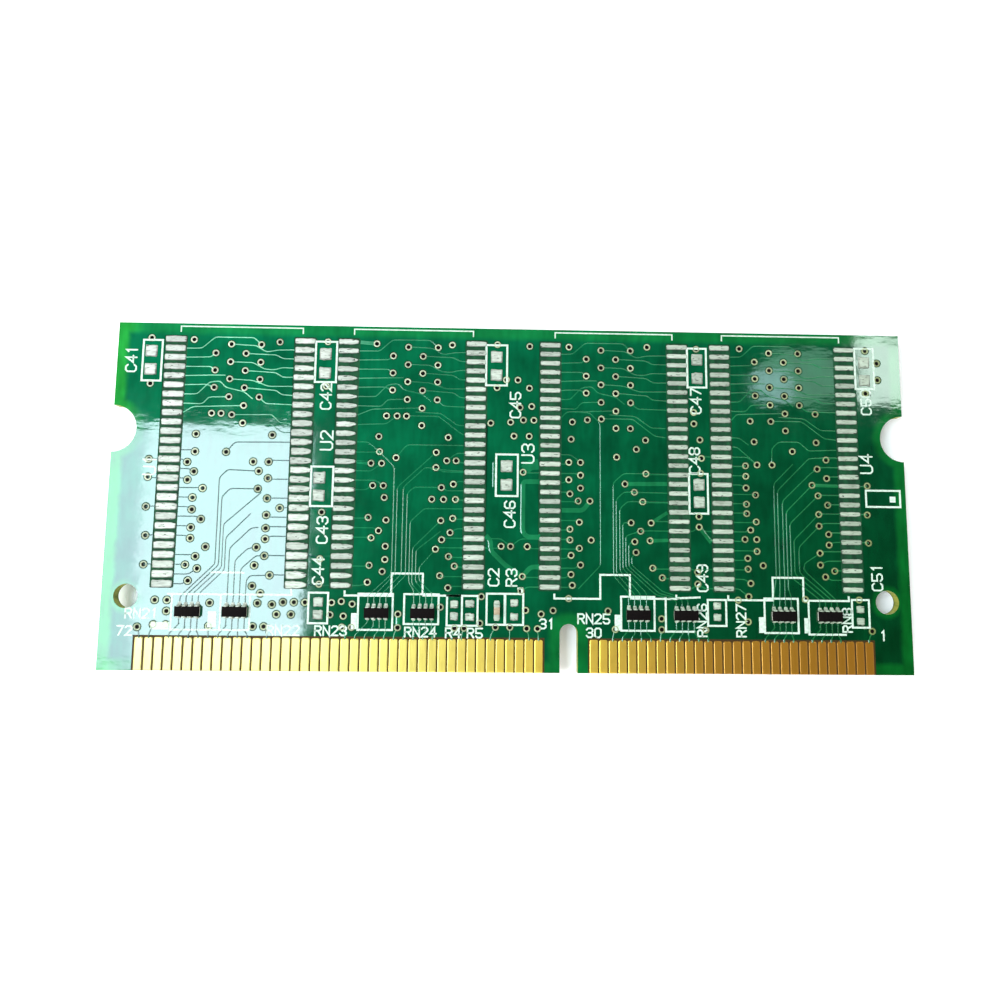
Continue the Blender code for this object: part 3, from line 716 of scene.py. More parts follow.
# The lines that run down the middle of each chip place to its resistor arrays.
BUS_TRACES = (
    # chip place 1
    ((-21.4, 16.5), (-24.0, 16.6), (-24.65, 15.9), (-24.65, 8.7), (-27.35, 6.0), (-27.35, 5.2)),
    ((-21.4, 15.0), (-23.7, 15.0), (-24.35, 14.3), (-24.35, 8.6), (-26.85, 6.1), (-26.85, 5.2)),
    ((-21.1, 14.7), (-24.1, 12.0), (-24.1, 8.4), (-26.35, 6.2), (-26.35, 5.2)),
    ((-21.9, 12.9), (-23.85, 10.9), (-23.85, 8.2), (-25.85, 6.2), (-25.85, 5.2)),
    ((-21.2, 11.75), (-21.8, 11.7), (-23.5, 10.0), (-23.5, 5.2)),
    ((-21.3, 10.1), (-22.0, 10.0), (-23.0, 9.0), (-23.0, 5.2)),
    ((-20.6, 9.4), (-21.3, 9.4), (-22.5, 8.3), (-22.5, 5.2)),
    ((-20.1, 7.8), (-21.7, 7.75), (-22.0, 7.4), (-22.0, 5.2)),
    ((-24.2, 18.1), (-23.5, 18.95), (-18.9, 19.0)),
    ((-23.9, 21.3), (-20.5, 21.35), (-19.8, 20.65), (-18.9, 20.63)),
    ((-23.05, 20.65), (-22.65, 20.45), (-20.5, 20.5), (-19.65, 19.85), (-18.9, 19.83)),
    # chip place 2
    ((-13.2, 19.1), (-12.3, 19.1), (-11.3, 18.3), (-10.0, 17.0), (-10.0, 8.0), (-11.9, 6.2), (-11.9, 5.2)),
    ((-6.5, 18.3), (-9.7, 15.3), (-9.7, 8.0), (-11.4, 6.2), (-11.4, 5.2)),
    ((-4.2, 16.7), (-6.0, 16.8), (-7.4, 17.0), (-9.2, 15.3), (-9.2, 8.0), (-10.9, 6.2), (-10.9, 5.2)),
    ((-6.0, 15.3), (-8.3, 15.3), (-8.85, 14.8), (-8.85, 7.9), (-10.4, 6.2), (-10.4, 5.2)),
    ((-4.2, 13.5), (-7.4, 13.5), (-8.55, 12.4), (-8.55, 7.3), (-8.1, 6.6), (-8.1, 5.2)),
    ((-6.0, 12.5), (-8.3, 10.2), (-8.3, 7.2), (-7.6, 6.4), (-7.6, 5.2)),
    ((-6.0, 11.6), (-8.0, 10.0), (-8.0, 7.4), (-7.1, 6.4), (-7.1, 5.2)),
    ((-6.4, 10.1), (-7.7, 8.6), (-7.7, 7.5), (-6.6, 6.4), (-6.6, 5.2)),
    ((-9.9, 17.8), (-9.0, 18.9), (-4.2, 18.9)),
    ((-13.2, 20.6), (-10.8, 20.7), (-9.9, 21.4)),
    ((-4.2, 20.63), (-4.75, 20.65), (-6.15, 21.65), (-8.35, 21.75)),
    ((-4.2, 19.83), (-4.45, 19.95), (-6.35, 21.4), (-9.05, 21.4)),
    # chip place 3
    ((13.2, 16.65), (9.5, 16.7), (8.6, 15.9), (8.6, 8.0), (9.85, 6.6), (9.85, 5.2)),
    ((13.2, 15.05), (9.5, 15.1), (8.85, 14.5), (8.85, 8.2), (10.35, 6.5), (10.35, 5.2)),
    ((13.2, 14.25), (9.8, 14.3), (9.15, 13.7), (9.15, 8.4), (10.85, 6.5), (10.85, 5.2)),
    ((10.1, 12.5), (9.4, 12.5), (9.4, 8.6), (11.35, 6.6), (11.35, 5.2)),
    ((10.9, 11.8), (9.65, 11.4), (9.65, 8.7), (12.1, 6.5), (13.85, 6.0), (13.85, 5.2)),
    ((10.4, 10.9), (9.9, 10.7), (9.9, 8.8), (12.4, 6.6), (14.35, 6.1), (14.35, 5.2)),
    ((10.5, 10.0), (10.15, 9.6), (10.15, 8.9), (12.7, 6.75), (14.85, 6.1), (14.85, 5.2)),
    ((5.3, 21.95), (6.6, 21.9), (7.5, 21.0), (7.5, 8.9), (5.6, 6.9)),
    ((13.1, 20.63), (11.9, 20.65), (10.5, 21.65), (8.3, 21.75)),
    ((13.1, 19.83), (12.2, 19.95), (10.3, 21.4), (7.6, 21.4)),
    # chip place 4
    ((24.1, 17.7), (22.4, 16.0), (22.4, 8.0), (22.1, 6.4), (22.1, 5.2)),
    ((27.9, 18.3), (25.5, 18.2), (22.7, 15.4), (22.7, 7.6), (22.6, 5.2)),
    ((26.2, 17.3), (25.6, 16.9), (23.1, 14.5), (23.1, 5.2)),
    ((25.7, 15.9), (23.4, 13.6), (23.4, 7.0), (23.6, 6.4), (23.6, 5.2)),
    ((26.2, 15.0), (23.7, 12.6), (23.7, 8.0), (26.0, 6.2), (26.0, 5.2)),
    ((26.2, 13.4), (24.0, 11.2), (24.0, 8.3), (26.5, 6.2), (26.5, 5.2)),
    ((26.2, 12.4), (24.4, 10.6), (24.4, 8.4), (27.0, 6.2), (27.0, 5.2)),
    ((26.2, 10.1), (24.8, 9.2), (24.8, 8.6), (27.5, 6.1), (27.5, 5.2)),
    ((22.3, 17.6), (22.3, 19.0), (22.9, 19.6), (24.7, 19.6), (25.5, 18.85), (27.9, 18.95)),
    ((18.8, 19.9), (19.5, 19.9), (20.3, 19.3)),
    ((27.9, 20.63), (26.6, 20.65), (25.2, 21.65), (23.0, 21.75)),
    ((27.9, 19.83), (26.9, 19.95), (25.0, 21.4), (22.3, 21.4)),
    ((18.9, 19.1), (19.3, 19.1), (21.0, 17.6)),
)
WIDE_COPPER = (
    # width, path
    (0.42, ((-13.2, 27.8), (-11.8, 27.7))),
    (0.42, ((-13.2, 17.4), (-12.0, 17.3))),
    (0.5, ((2.3, 15.9), (0.9, 15.9), (0.9, 11.6), (1.3, 11.2), (2.4, 11.2))),
    (1.0, ((0.9, 16.75), (1.4, 17.3), (2.2, 17.4))),
    (0.5, ((-2.2, 11.3), (-1.8, 10.9), (-1.75, 10.0), (-0.5, 8.8), (0.9, 7.9))),
    (0.5, ((0.9, 7.9), (1.6, 8.7), (2.3, 8.7))),
    (0.5, ((4.2, 13.5), (6.0, 13.5), (6.6, 14.3))),
    (0.45, ((9.6, 15.8), (13.2, 15.85))),
    (0.4, ((11.7, 11.0), (13.2, 11.05))),
    (0.4, ((11.8, 12.5), (13.2, 13.4))),
    (0.45, ((15.9, 12.2), (16.9, 10.9))),
    (0.3, ((-1.6, 17.5), (-1.6, 15.4))),
    (0.4, ((25.7, 15.9), (27.9, 15.85))),
    (0.45, ((-9.4, 4.7), (-9.4, 3.6))),
)


TRACE_WIDTH, TRACE_HEIGHT, TRACE_CROWN, TRACE_BEND = 0.15, 0.0155, 0.22, 0.22
WIDE_BEND, WIDE_SLOPES = 0.3, 0.2
CONTACT_START, CONTACT_CLEAR, TERMINAL_FOOT = 2.6, 2.95, 4.4
STUB_VIAS_BELOW, STUB_ROWS = 19, 15
STUB_NEAREST, STUB_FURTHEST, STUB_CLIMB = 0.45, 2.4, 0.7


def chip_fan(x0, centre):
    """The upper traces of one chip place, from the pads' inner ends to the lattice of vias."""
    inner = PAD_X - PAD_LENGTH / 2
    paths = []
    for sign, fan in ((-1, FAN_LEFT), (1, FAN_RIGHT)):
        for row, *points in fan:
            start = (centre + sign * inner, ROWS[row])
            paths.append([start] + [(x0 + dx, y) for dx, y in points])
    return paths


def pad_stubs(vias, flip):
    """Short traces from the lower pads to whichever free via lies beside each of them."""
    paths = []
    ends = [(flip * centre + sign * PAD_X + end * PAD_LENGTH / 2, end)
            for centre in CHIP_X for sign in (-1, 1) for end in (-1, 1)]
    for edge, end in ends:
        free = set(range(STUB_ROWS))
        near = [via for via in vias if STUB_NEAREST < (via[0] - edge) * end < STUB_FURTHEST]
        for x, y in sorted(near, key=lambda via: abs(via[0] - edge)):
            row = min(free, key=lambda item: abs(ROWS[item] - y), default=None)
            if row is None or abs(ROWS[row] - y) > STUB_CLIMB:
                continue
            free.discard(row)
            shift = min(abs(ROWS[row] - y) + 0.2, abs(x - edge) - 0.1)
            paths.append([(edge, ROWS[row]), (x - end * shift, ROWS[row]), (x, y)])
    return paths


def off_the_rings(path, vias):
    """The same path with any end that lies on a via pulled back to the rim of its ring."""
    path = [Vector(point) for point in path]
    for end, beside in ((0, 1), (-1, -2)):
        via = min(vias, key=lambda item: (path[end] - Vector(item)).length)
        inward = path[beside] - path[end]
        if (path[end] - Vector(via)).length < 0.2 and inward.length > VIA_RING:
            path[end] = Vector(via) + (path[beside] - Vector(via)).normalized() * (VIA_RING - 0.01)
    return path


def contact_traces(flip):
    """Short runs from the contacts up to the arrays' lower terminals, and odd ones to the vias."""
    fingers = [
        flip * (first + number * FINGER_PITCH)
        for first, count in FINGER_GROUPS.values() for number in range(count)
    ]
    paths = []
    used = set()
    for centre in ARRAY_X:
        for offset in TERMINALS:
            top = flip * (centre + offset)
            goal = top * 1.004 + (offset - 0.6) * 0.6 * flip
            finger = min((f for f in fingers if f not in used), key=lambda item: abs(item - goal))
            used.add(finger)
            lean = min(abs(top - finger), 1.0) * (1 if top > finger else -1)
            knee = CONTACT_CLEAR + 0.05 + abs(lean)
            climb = [(finger + lean, knee), (top, knee + 0.1), (top, TERMINAL_FOOT)]
            paths.append([(finger, CONTACT_START), (finger, CONTACT_CLEAR)] + climb)
    for x, y in VIAS:
        x *= flip
        if 3.0 < y < 4.0:
            finger = min(fingers, key=lambda item: abs(item - x))
            if abs(finger - x) < 0.6 and finger not in used:
                used.add(finger)
                paths.append([(finger, CONTACT_START), (finger, CONTACT_CLEAR), (x, y)])
    return paths


# Marks printed on the back: open lines, closed frames, solid tabs, and component and contact numbers
MARK_LINES = (
    ((-28.55, 28.45), (-28.55, 28.95), (-18.15, 28.95), (-18.15, 28.45)),
    ((-13.75, 28.45), (-13.75, 28.95), (-3.5, 28.95), (-3.5, 28.45)),
    ((3.6, 28.45), (3.6, 28.95), (13.8, 28.95), (13.8, 28.45)),
    ((18.15, 28.45), (18.15, 28.95), (28.5, 28.95), (28.5, 28.45)),
    ((-28.4, 6.2), (-18.2, 6.2), (-18.3, 6.7)),
    ((-28.1, 3.3), (-21.6, 3.3)),
    ((-24.0, 6.2), (-24.0, 3.3)),
    ((-28.0, 6.2), (-28.0, 3.3)),
    ((-21.6, 6.2), (-21.6, 3.3)),
    ((-25.0, 8.0), (-22.2, 8.0)),
    ((-13.85, 6.6), (-13.85, 6.2), (-10.0, 6.2), (-10.0, 8.05), (-7.4, 8.05), (-7.4, 6.3)),
    ((-7.4, 6.25), (-3.9, 6.25)),
    ((3.6, 6.5), (3.6, 6.1), (7.45, 6.1), (7.45, 8.1), (9.95, 8.1), (9.95, 6.3)),
    ((9.95, 6.15), (13.85, 6.15), (13.85, 6.5)),
    ((13.85, 6.2), (15.9, 6.3)),
    ((18.25, 6.5), (18.25, 6.1), (22.05, 6.1), (22.05, 8.0), (24.65, 8.0), (24.65, 6.1), (28.5, 6.1),
     (28.5, 6.5)),
    ((12.95, 6.3), (12.95, 3.45), (15.4, 3.45)),
    ((28.2, 3.3), (25.05, 3.3), (25.05, 6.1)),
    ((0.5, 6.9), (0.9, 6.9), (0.9, 6.5)),
)
MARK_FRAMES = (
    (-31.65, 24.15, -30.05, 27.7), (-17.0, 24.25, -15.2, 27.8), (-17.0, 13.6, -15.15, 16.95),
    (-2.35, 24.2, -0.55, 27.75), (-1.4, 14.65, 0.45, 18.2), (15.1, 24.3, 16.75, 27.75),
    (15.1, 13.35, 16.7, 16.75), (29.85, 24.4, 31.5, 28.0), (30.35, 14.1, 33.3, 15.5),
    (-16.8, 3.9, -15.2, 6.4), (-5.35, 3.8, -4.1, 6.25), (-4.1, 3.8, -2.8, 6.25),
    (-2.05, 3.9, -0.55, 6.45), (-0.5, 3.9, 1.0, 6.45), (16.5, 3.95, 18.05, 6.1),
    (28.75, 3.9, 30.2, 6.2), (-12.7, 3.4, -9.85, 6.35), (-8.9, 3.9, -6.05, 6.35),
    (9.2, 3.5, 12.0, 6.3), (21.3, 3.4, 24.15, 6.25),
)
MARK_TABS = (
    (-29.6, 3.3, -28.1, 3.9), (-25.0, 3.5, -24.3, 4.8), (-13.25, 3.45, -12.75, 4.75),
    (8.65, 3.5, 9.15, 4.8), (20.8, 3.4, 21.25, 4.7), (24.65, 3.4, 25.0, 4.65), (32.4, 14.5, 32.9, 15.0),
)
MARK_TEXTS = (
    # height, reads upward, then each text with its middle
    (0.86, True, ("C41", -32.6, 26.0), ("C42", -16.0, 23.0), ("C43", -15.9, 11.6), ("C44", -16.1, 8.2),
     ("C45", 0.2, 22.5), ("C46", -0.2, 13.1), ("C47", 15.8, 23.1), ("C48", 15.6, 17.9), ("C49", 16.1, 7.9)),
    (0.84, True, ("C50", 30.7, 23.2)),
    (0.86, True, ("C51", 31.0, 8.1), ("C2", -1.5, 7.8)),
    (1, True, ("U1", -30.5, 16.9), ("U2", -15.8, 19.2), ("U3", 1.3, 18.3), ("U4", 30.5, 17.8)),
    (0.86, True, ("R3", 0.0, 7.8)),
    (0.76, False, ("R4", -4.8, 3.2), ("R5", -3.0, 3.2), ("RN21", -30.4, 4.6), ("RN22", -18.8, 3.3)),
    (0.74, False, ("RN23", -14.9, 3.3), ("RN24", -7.5, 3.25)),
    (0.76, False, ("RN25", 6.9, 4.45)),
    (0.76, True, ("RN26", 16.0, 4.4), ("RN27", 19.3, 4.4), ("RN8", 28.3, 4.5)),
    (0.76, False, ("1", 31.35, 3.25)),
    (0.74, False, ("30", 6.9, 3.3)),
    (0.76, False, ("31", 3.0, 4.0)),
    (0.74, False, ("72", -31.7, 3.2)),
)

GLYPHS = {
    "0": (((1, 0), (3, 0), (4, 1), (4, 5), (3, 6), (1, 6), (0, 5), (0, 1), (1, 0)),),
    "1": (((1, 5), (2, 6), (2, 0)),),
    "2": (((0, 5), (1, 6), (3, 6), (4, 5), (4, 4), (0, 0), (4, 0)),),
    "3": (((0, 5), (1, 6), (3, 6), (4, 5), (4, 4), (3, 3), (4, 2), (4, 1), (3, 0), (1, 0), (0, 1)),
          ((1.4, 3), (3, 3))),
    "4": (((3, 0), (3, 6), (0, 2), (4, 2)),),
    "5": (((4, 6), (0, 6), (0, 3), (3, 3), (4, 2), (4, 1), (3, 0), (1, 0), (0, 1)),),
    "6": (((4, 5), (3, 6), (1, 6), (0, 5), (0, 1), (1, 0), (3, 0), (4, 1), (4, 2), (3, 3), (0, 3)),),
    "7": (((0, 6), (4, 6), (1, 0)),),
    "8": (((1, 3), (0, 4), (0, 5), (1, 6), (3, 6), (4, 5), (4, 4), (3, 3), (4, 2), (4, 1), (3, 0),
           (1, 0), (0, 1), (0, 2), (1, 3), (3, 3)),),
    "9": (((0, 1), (1, 0), (3, 0), (4, 1), (4, 5), (3, 6), (1, 6), (0, 5), (0, 4), (1, 3), (4, 3)),),
    "C": (((4, 5), (3, 6), (1, 6), (0, 5), (0, 1), (1, 0), (3, 0), (4, 1)),),
    "N": (((0, 0), (0, 6), (4, 0), (4, 6)),),
    "R": (((0, 0), (0, 6), (3, 6), (4, 5), (4, 4), (3, 3), (0, 3)), ((2, 3), (4, 0))),
    "U": (((0, 6), (0, 1), (1, 0), (3, 0), (4, 1), (4, 6)),),
}
STROKE, PEN_STROKE, FINE_STROKE, INK_HEIGHT = 0.18, 0.155, 0.12, 0.014


def write(shape, text, x, y, height, upward):
    """Draws a short text in pen strokes round (x, y). A letter is 6 units high and 4 wide."""
    unit = height / 6
    advance = 5.6 * unit
    length = advance * len(text) - 1.6 * unit
    for position, letter in enumerate(text):
        for stroke in GLYPHS[letter]:
            path = []
            for gx, gy in stroke:
                along = position * advance + gx * unit - length / 2
                above = gy * unit - height / 2
                path.append((x - above, y + along) if upward else (x + along, y + above))
            shape.ribbon(path, PEN_STROKE, INK_HEIGHT, crown=0.8, round_ends=True)


# ---------------------------------------------------------------- board layers

def board_outline(inset=0.0, notch_steps=24):
    """The board's outline, or with an inset that of the inner planes, which clear the corner holes."""
    right, top = HALF - inset, DEPTH - inset
    corner = [(right, inset)]
    if inset:
        beside, above = HOLE_X - HOLE_RADIUS - 0.5, HOLE_Y + HOLE_RADIUS + 0.5
        corner = [(beside, inset), (beside, above), (right, above)]
    slot, notch = KEY_WIDTH / 2 + inset, LATCH_RADIUS + inset
    reach = math.degrees(math.asin(inset / notch))
    points = mirrored(corner[:1]) + [(KEY_X - slot, inset)]
    points += arc(KEY_X, KEY_DEPTH - KEY_WIDTH / 2, slot, 180, 0, 16)
    points += [(KEY_X + slot, inset)] + corner
    points += arc(HALF, LATCH_Y, notch, 270 - reach, 90 + reach, notch_steps)
    points += [(right, top), (-right, top)]
    points += arc(-HALF, LATCH_Y, notch, 90 - reach, -90 + reach, notch_steps)
    return points + mirrored(corner[:0:-1])


def mask_outline():
    """The board's outline, stepped in round the two groups of bare contacts."""
    outline = board_outline()
    top = FINGER_LENGTH + WINDOW_MARGIN
    windows = []
    for first, count in FINGER_GROUPS.values():
        left = first - FINGER_WIDTH / 2 - WINDOW_MARGIN
        right = first + (count - 1) * FINGER_PITCH + FINGER_WIDTH / 2 + WINDOW_MARGIN
        windows.append([(left, 0.0), (left, top), (right, top), (right, 0.0)])
    corner = outline.index((HALF, 0.0))
    return outline[:1] + windows[0] + outline[1:corner] + windows[1] + outline[corner:]


def via_holes(radius, steps):
    return [circle(x, y, radius, steps) for x, y in VIAS]


def corner_holes():
    return [circle(sign * HOLE_X, HOLE_Y, HOLE_RADIUS, 48) for sign in (-1, 1)]


def pad_windows():
    """Openings in the lacquer round each column of chip pads."""
    height = ROWS[-1] - ROWS[0] + PAD_WIDTH + 0.12
    columns = [centre + sign * PAD_X for centre in CHIP_X for sign in (-1, 1)]
    return [rounded(x, CHIP_Y, PAD_LENGTH + 0.1, height, radius=0.15) for x in columns]


def make_layers():
    """Core, prepregs, planes and lacquer: separate sheets with the vias' holes through them all."""
    outline = board_outline()
    drilled = corner_holes() + via_holes(VIA_BARREL + 0.005, 12)
    cleared = via_holes(PLANE_CLEARANCE, 12)
    opened = corner_holes() + via_holes(VIA_CLEARANCE, 16) + pad_windows()
    plane, lacquer = board_outline(PLANE_INSET, 20), mask_outline()
    layers = (
        ("laminate_core", "board_core", outline, drilled, [LAMINATE], "laminate"),
        ("prepreg_back", "board_skin_back", outline, drilled, [BARE, LAMINATE], "laminate"),
        ("prepreg_front", "board_skin_front", outline, drilled, [BARE, LAMINATE], "laminate"),
        ("ground_plane", "board_ground_plane", plane, cleared, [COPPER], "copper"),
        ("power_plane", "board_power_plane", plane, cleared, [COPPER], "copper"),
        ("solder_mask_back", "board_mask_back", lacquer, opened, [MASK], "mask_green"),
        ("solder_mask_front", "board_mask_front", lacquer, opened, [MASK], "mask_green"),
    )
    for node, name, loop, holes, materials, slot in layers:
        low, high = box_mm(node)
        shape = Shape(BACK)
        shape.slab(loop, holes, low.z - BACK_Z, high.z - BACK_Z)
        if len(materials) == 2:
            # flat faces are triangles, and cut edges have four corners
            shape.marks = [0 if len(face) == 3 else 1 for face in shape.faces]
        shape.build(name, materials, [node], sharp=25)


def make_vias():
    """Plated holes: a ring on each face, a thin barrel between them and a near-black plug a little way
    down, which paints the shade inside the hole.
    """
    thickness = BACK_Z - FRONT_Z
    rim = ((VIA_BARREL, COPPER_SEAT), (VIA_RING, COPPER_SEAT), (VIA_RING, 0.01),
           (VIA_RING - 0.025, 0.024), (VIA_HOLE + 0.02, 0.024), (VIA_HOLE, -0.01))
    profile = list(rim) + [(radius, -thickness - h) for radius, h in reversed(rim)]
    halves = {"left": [], "right": []}
    for via in VIAS:
        halves["left" if via[0] < 0 else "right"].append(via)
    for name, vias in halves.items():
        shape = Shape(BACK)
        for x, y in vias:
            shape.mark, shape.tone = 0, dice.random()
            shape.turned(x, y, profile, loop=True)
            # painted shade: a near-black plug in the barrel stands in for the shade down the hole
            shape.mark = 1
            shape.turned(x, y, [(VIA_HOLE + 0.005, h) for h in (-0.06, 0.06 - thickness)])
        shape.build("vias_" + name, [RING_TIN, OVERCOAT_AND_HOLE_SHADE], sharp=60)


def make_traces():
    """Copper tracks under the lacquer, which stand up as low ridges on both faces."""
    back_paths = [path for x0, centre in zip(LATTICE_X, CHIP_X) for path in chip_fan(x0, centre)]
    back_paths += BUS_TRACES
    front_paths = [
        path for x0, centre in zip(LATTICE_X, CHIP_X)
        for path in chip_fan(-x0 - LATTICE_WIDTH, -centre)
    ]
    front_paths += [mirrored(path[:-2]) for path in BUS_TRACES if len(path) > 3]
    for side, paths, vias in ((BACK, back_paths, VIAS), (FRONT, front_paths, mirrored(VIAS))):
        paths += pad_stubs([via for via in vias if via[1] < STUB_VIAS_BELOW], side.flip)
        paths += contact_traces(side.flip)
        shape = Shape(side)
        for path in paths:
            path = soften(off_the_rings(path, vias), TRACE_BEND, 2)
            shape.ribbon(path, TRACE_WIDTH, TRACE_HEIGHT, TRACE_CROWN)
        for width, path in WIDE_COPPER:
            path = off_the_rings([(side.flip * x, y) for x, y in path], vias)
            shape.ribbon(soften(path, WIDE_BEND), width, TRACE_HEIGHT, 1 - WIDE_SLOPES / width)
        shape.build("traces_" + side.name, [MASK_ON_COPPER], sharp=75)


# ---------------------------------------------------------------- contacts, pads and solder

def make_contacts():
    """Plated contacts with rounded inner corners and softened long edges."""
    for side in (BACK, FRONT):
        for group, (first, count) in FINGER_GROUPS.items():
            shape = Shape(side)
            for number in range(count):
                x = side.flip * (first + number * FINGER_PITCH)
                shape.tone = dice.random()
                length = FINGER_LENGTH + dice.uniform(-0.04, 0.04)
                levels = ((0.0, COPPER_SEAT), (0.0, -0.026), (0.012, -0.0224), (0.06, -0.002))
                shape.loft([at_height(contact_outline(x, length, inset), h) for inset, h in levels])
            node = "contacts_%s_%s" % (side.name, group)
            shape.build("fingers_%s_%s" % (side.name, group), [GOLD], [node], sharp=8)


def contact_outline(x, length, inset):
    half, top = FINGER_WIDTH / 2 - inset, length - inset
    radius = 0.14
    points = [(x - half, inset), (x + half, inset)]
    points += arc(x + half - radius, top - radius, radius, 0, 90, 4)
    return points + arc(x - half + radius, top - radius, radius, 90, 180, 4)


def solder_pad(shape, x, y, length, width, rise, rough, taper=0.0, corner=0.12):
    """A pad with a crowned, uneven coat of solder. A taper pulls in one end of it.

    Its rim carries painted shade: darker than its top, and darkest on the side of the contacts.
    """
    shape.tone = dice.random()
    seed = Vector((dice.uniform(0, 50), dice.uniform(0, 50), 0))
    along = 7 if length > width else 3
    rings = []
    for inset, share in ((0.0, -0.8), (0.0, 0.4), (0.1, 0.8), (0.3, 0.97), (0.7, 1.0)):
        cut = inset * min(length, width) / 2
        outline = rounded(0, 0, length - 2 * cut, width - 2 * cut, corner, 3, along)
        ring = []
        for px, py in outline:
            where = 2 * px / length
            narrow = 1 - abs(taper) * max(0.0, where * math.copysign(1, taper)) ** 2
            lump = noise.noise(Vector((px * 2.2, py * 3.0, 0)) + seed)
            edge = 1 + rough * 0.35 * noise.noise(Vector((px * 5, py * 5, 9)) + seed)
            height = rise * share * (1 + rough * 2 * lump) if share > 0.2 else rise * share
            ring.append((x + px, y + py * narrow * edge, height))
        rings.append(ring)
    start = len(shape.tones)
    shape.loft(rings)
    # painted shade: the first three rings take -1 on the side of the contacts and 0 elsewhere
    for index, (_, py) in enumerate(outline * 3):
        shape.tones[start + index] = -1.0 if py < 0 else 0.0


def make_chip_pads():
    """The bare pads of the four chip places on the back, and the soldered ones on the front."""
    places = (
        # width at the bottom and the top row, taper of the left and the right column
        (0.64, 0.5, 0.2, 0.6), (0.48, 0.44, 0.8, 0.15), (0.4, 0.41, 0.0, 0.05), (0.4, 0.42, 0.05, 0.2),
    )
    for number, centre, (bottom, top, *tapers) in zip(CHIP_NUMBERS, CHIP_X, places):
        shape = Shape(BACK)
        for sign, taper in zip((-1, 1), tapers):
            for row, y in enumerate(ROWS):
                narrowing = taper * dice.uniform(0.2, 1.1)
                width = (bottom + (top - bottom) * row / PAD_ROWS) * dice.uniform(0.93, 1.06)
                length = PAD_LENGTH * dice.uniform(0.9, 0.97)
                x = centre + sign * PAD_X
                solder_pad(shape, x, y, length, width, 0.035, 0.3 + 0.3 * taper, narrowing)
        node = "spare_chip_pads_%d" % number
        shape.build("bare_chip_pads_%d" % number, [SOLDER], [node], sharp=70)
        shape = Shape(FRONT)
        for sign in (-1, 1):
            for y in ROWS:
                x = -centre + sign * PAD_X
                solder_pad(shape, x, y, PAD_LENGTH, PAD_WIDTH * 0.9, 0.06, rough=0.2)
        shape.build("soldered_chip_pads_%d" % number, [SOLDER], sharp=70)


SMALL_PADS = (
    # pairs of bare pads: x, the two y, width, depth
    (-30.95, 26.75, 25.15, 1.0, 1.0), (-16.15, 26.7, 25.05, 1.0, 1.0), (-16.3, 16.0, 14.5, 1.0, 1.0),
    (-1.45, 26.7, 25.1, 1.0, 1.0), (-0.5, 17.2, 15.6, 1.0, 1.0), (15.95, 26.75, 25.1, 0.95, 1.0),
    (15.95, 15.8, 14.3, 0.95, 1.0), (30.65, 26.75, 25.15, 0.95, 1.0), (-4.75, 5.55, 4.55, 0.65, 0.65),
    (-3.45, 5.6, 4.5, 0.75, 0.6), (0.25, 5.7, 4.55, 0.65, 0.6), (17.3, 5.6, 4.65, 0.65, 0.6),
    (29.45, 5.4, 4.4, 0.65, 0.6), (-16.0, 5.65, 4.6, 0.8, 0.75),
)


def make_small_pads():
    shape = Shape(BACK)
    for x, upper, lower, width, depth in SMALL_PADS:
        for y in (upper, lower):
            solder_pad(shape, x, y, width, depth, 0.07, rough=0.55, corner=0.08)
    shape.build("bare_small_pads", [SOLDER], sharp=70)


def make_marks():
    shape = Shape(BACK)
    for line in MARK_LINES:
        shape.ribbon(line, FINE_STROKE if line[0][1] > CHIP_Y else STROKE, INK_HEIGHT, crown=0.85)
    for corners in MARK_FRAMES:
        shape.ribbon(rectangle(*corners), STROKE, INK_HEIGHT, crown=0.85, closed=True)
    for corners in MARK_TABS:
        shape.loft([at_height(rectangle(*corners), h) for h in (RIDGE_FOOT, INK_HEIGHT)])
    for height, upward, *texts in MARK_TEXTS:
        for text, x, y in texts:
            write(shape, text, x, y, height, upward)
    shape.build("marks_back", [INK], sharp=40)


# ---------------------------------------------------------------- moulded packages

LEAD_THICKNESS, LEAD_TOE, LEAD_BEND = 0.127, 0.48, 0.14
BODY_CORNER, BODY_DRAFT = 0.12, 0.06
DIMPLE_STEPS = 24


def make_front_packages():
    for number, centre in zip(CHIP_NUMBERS, CHIP_X):
        name = "memory_chip_%d" % number
        make_body(name, True)
        make_leads(name, (-centre, CHIP_Y), True, PAD_ROWS, PAD_PITCH, width=0.32)
    make_body("eeprom", False)
    make_leads("eeprom", FRONT.middle("eeprom_leadframe"), False, pins=4, pitch=0.65, width=0.24)


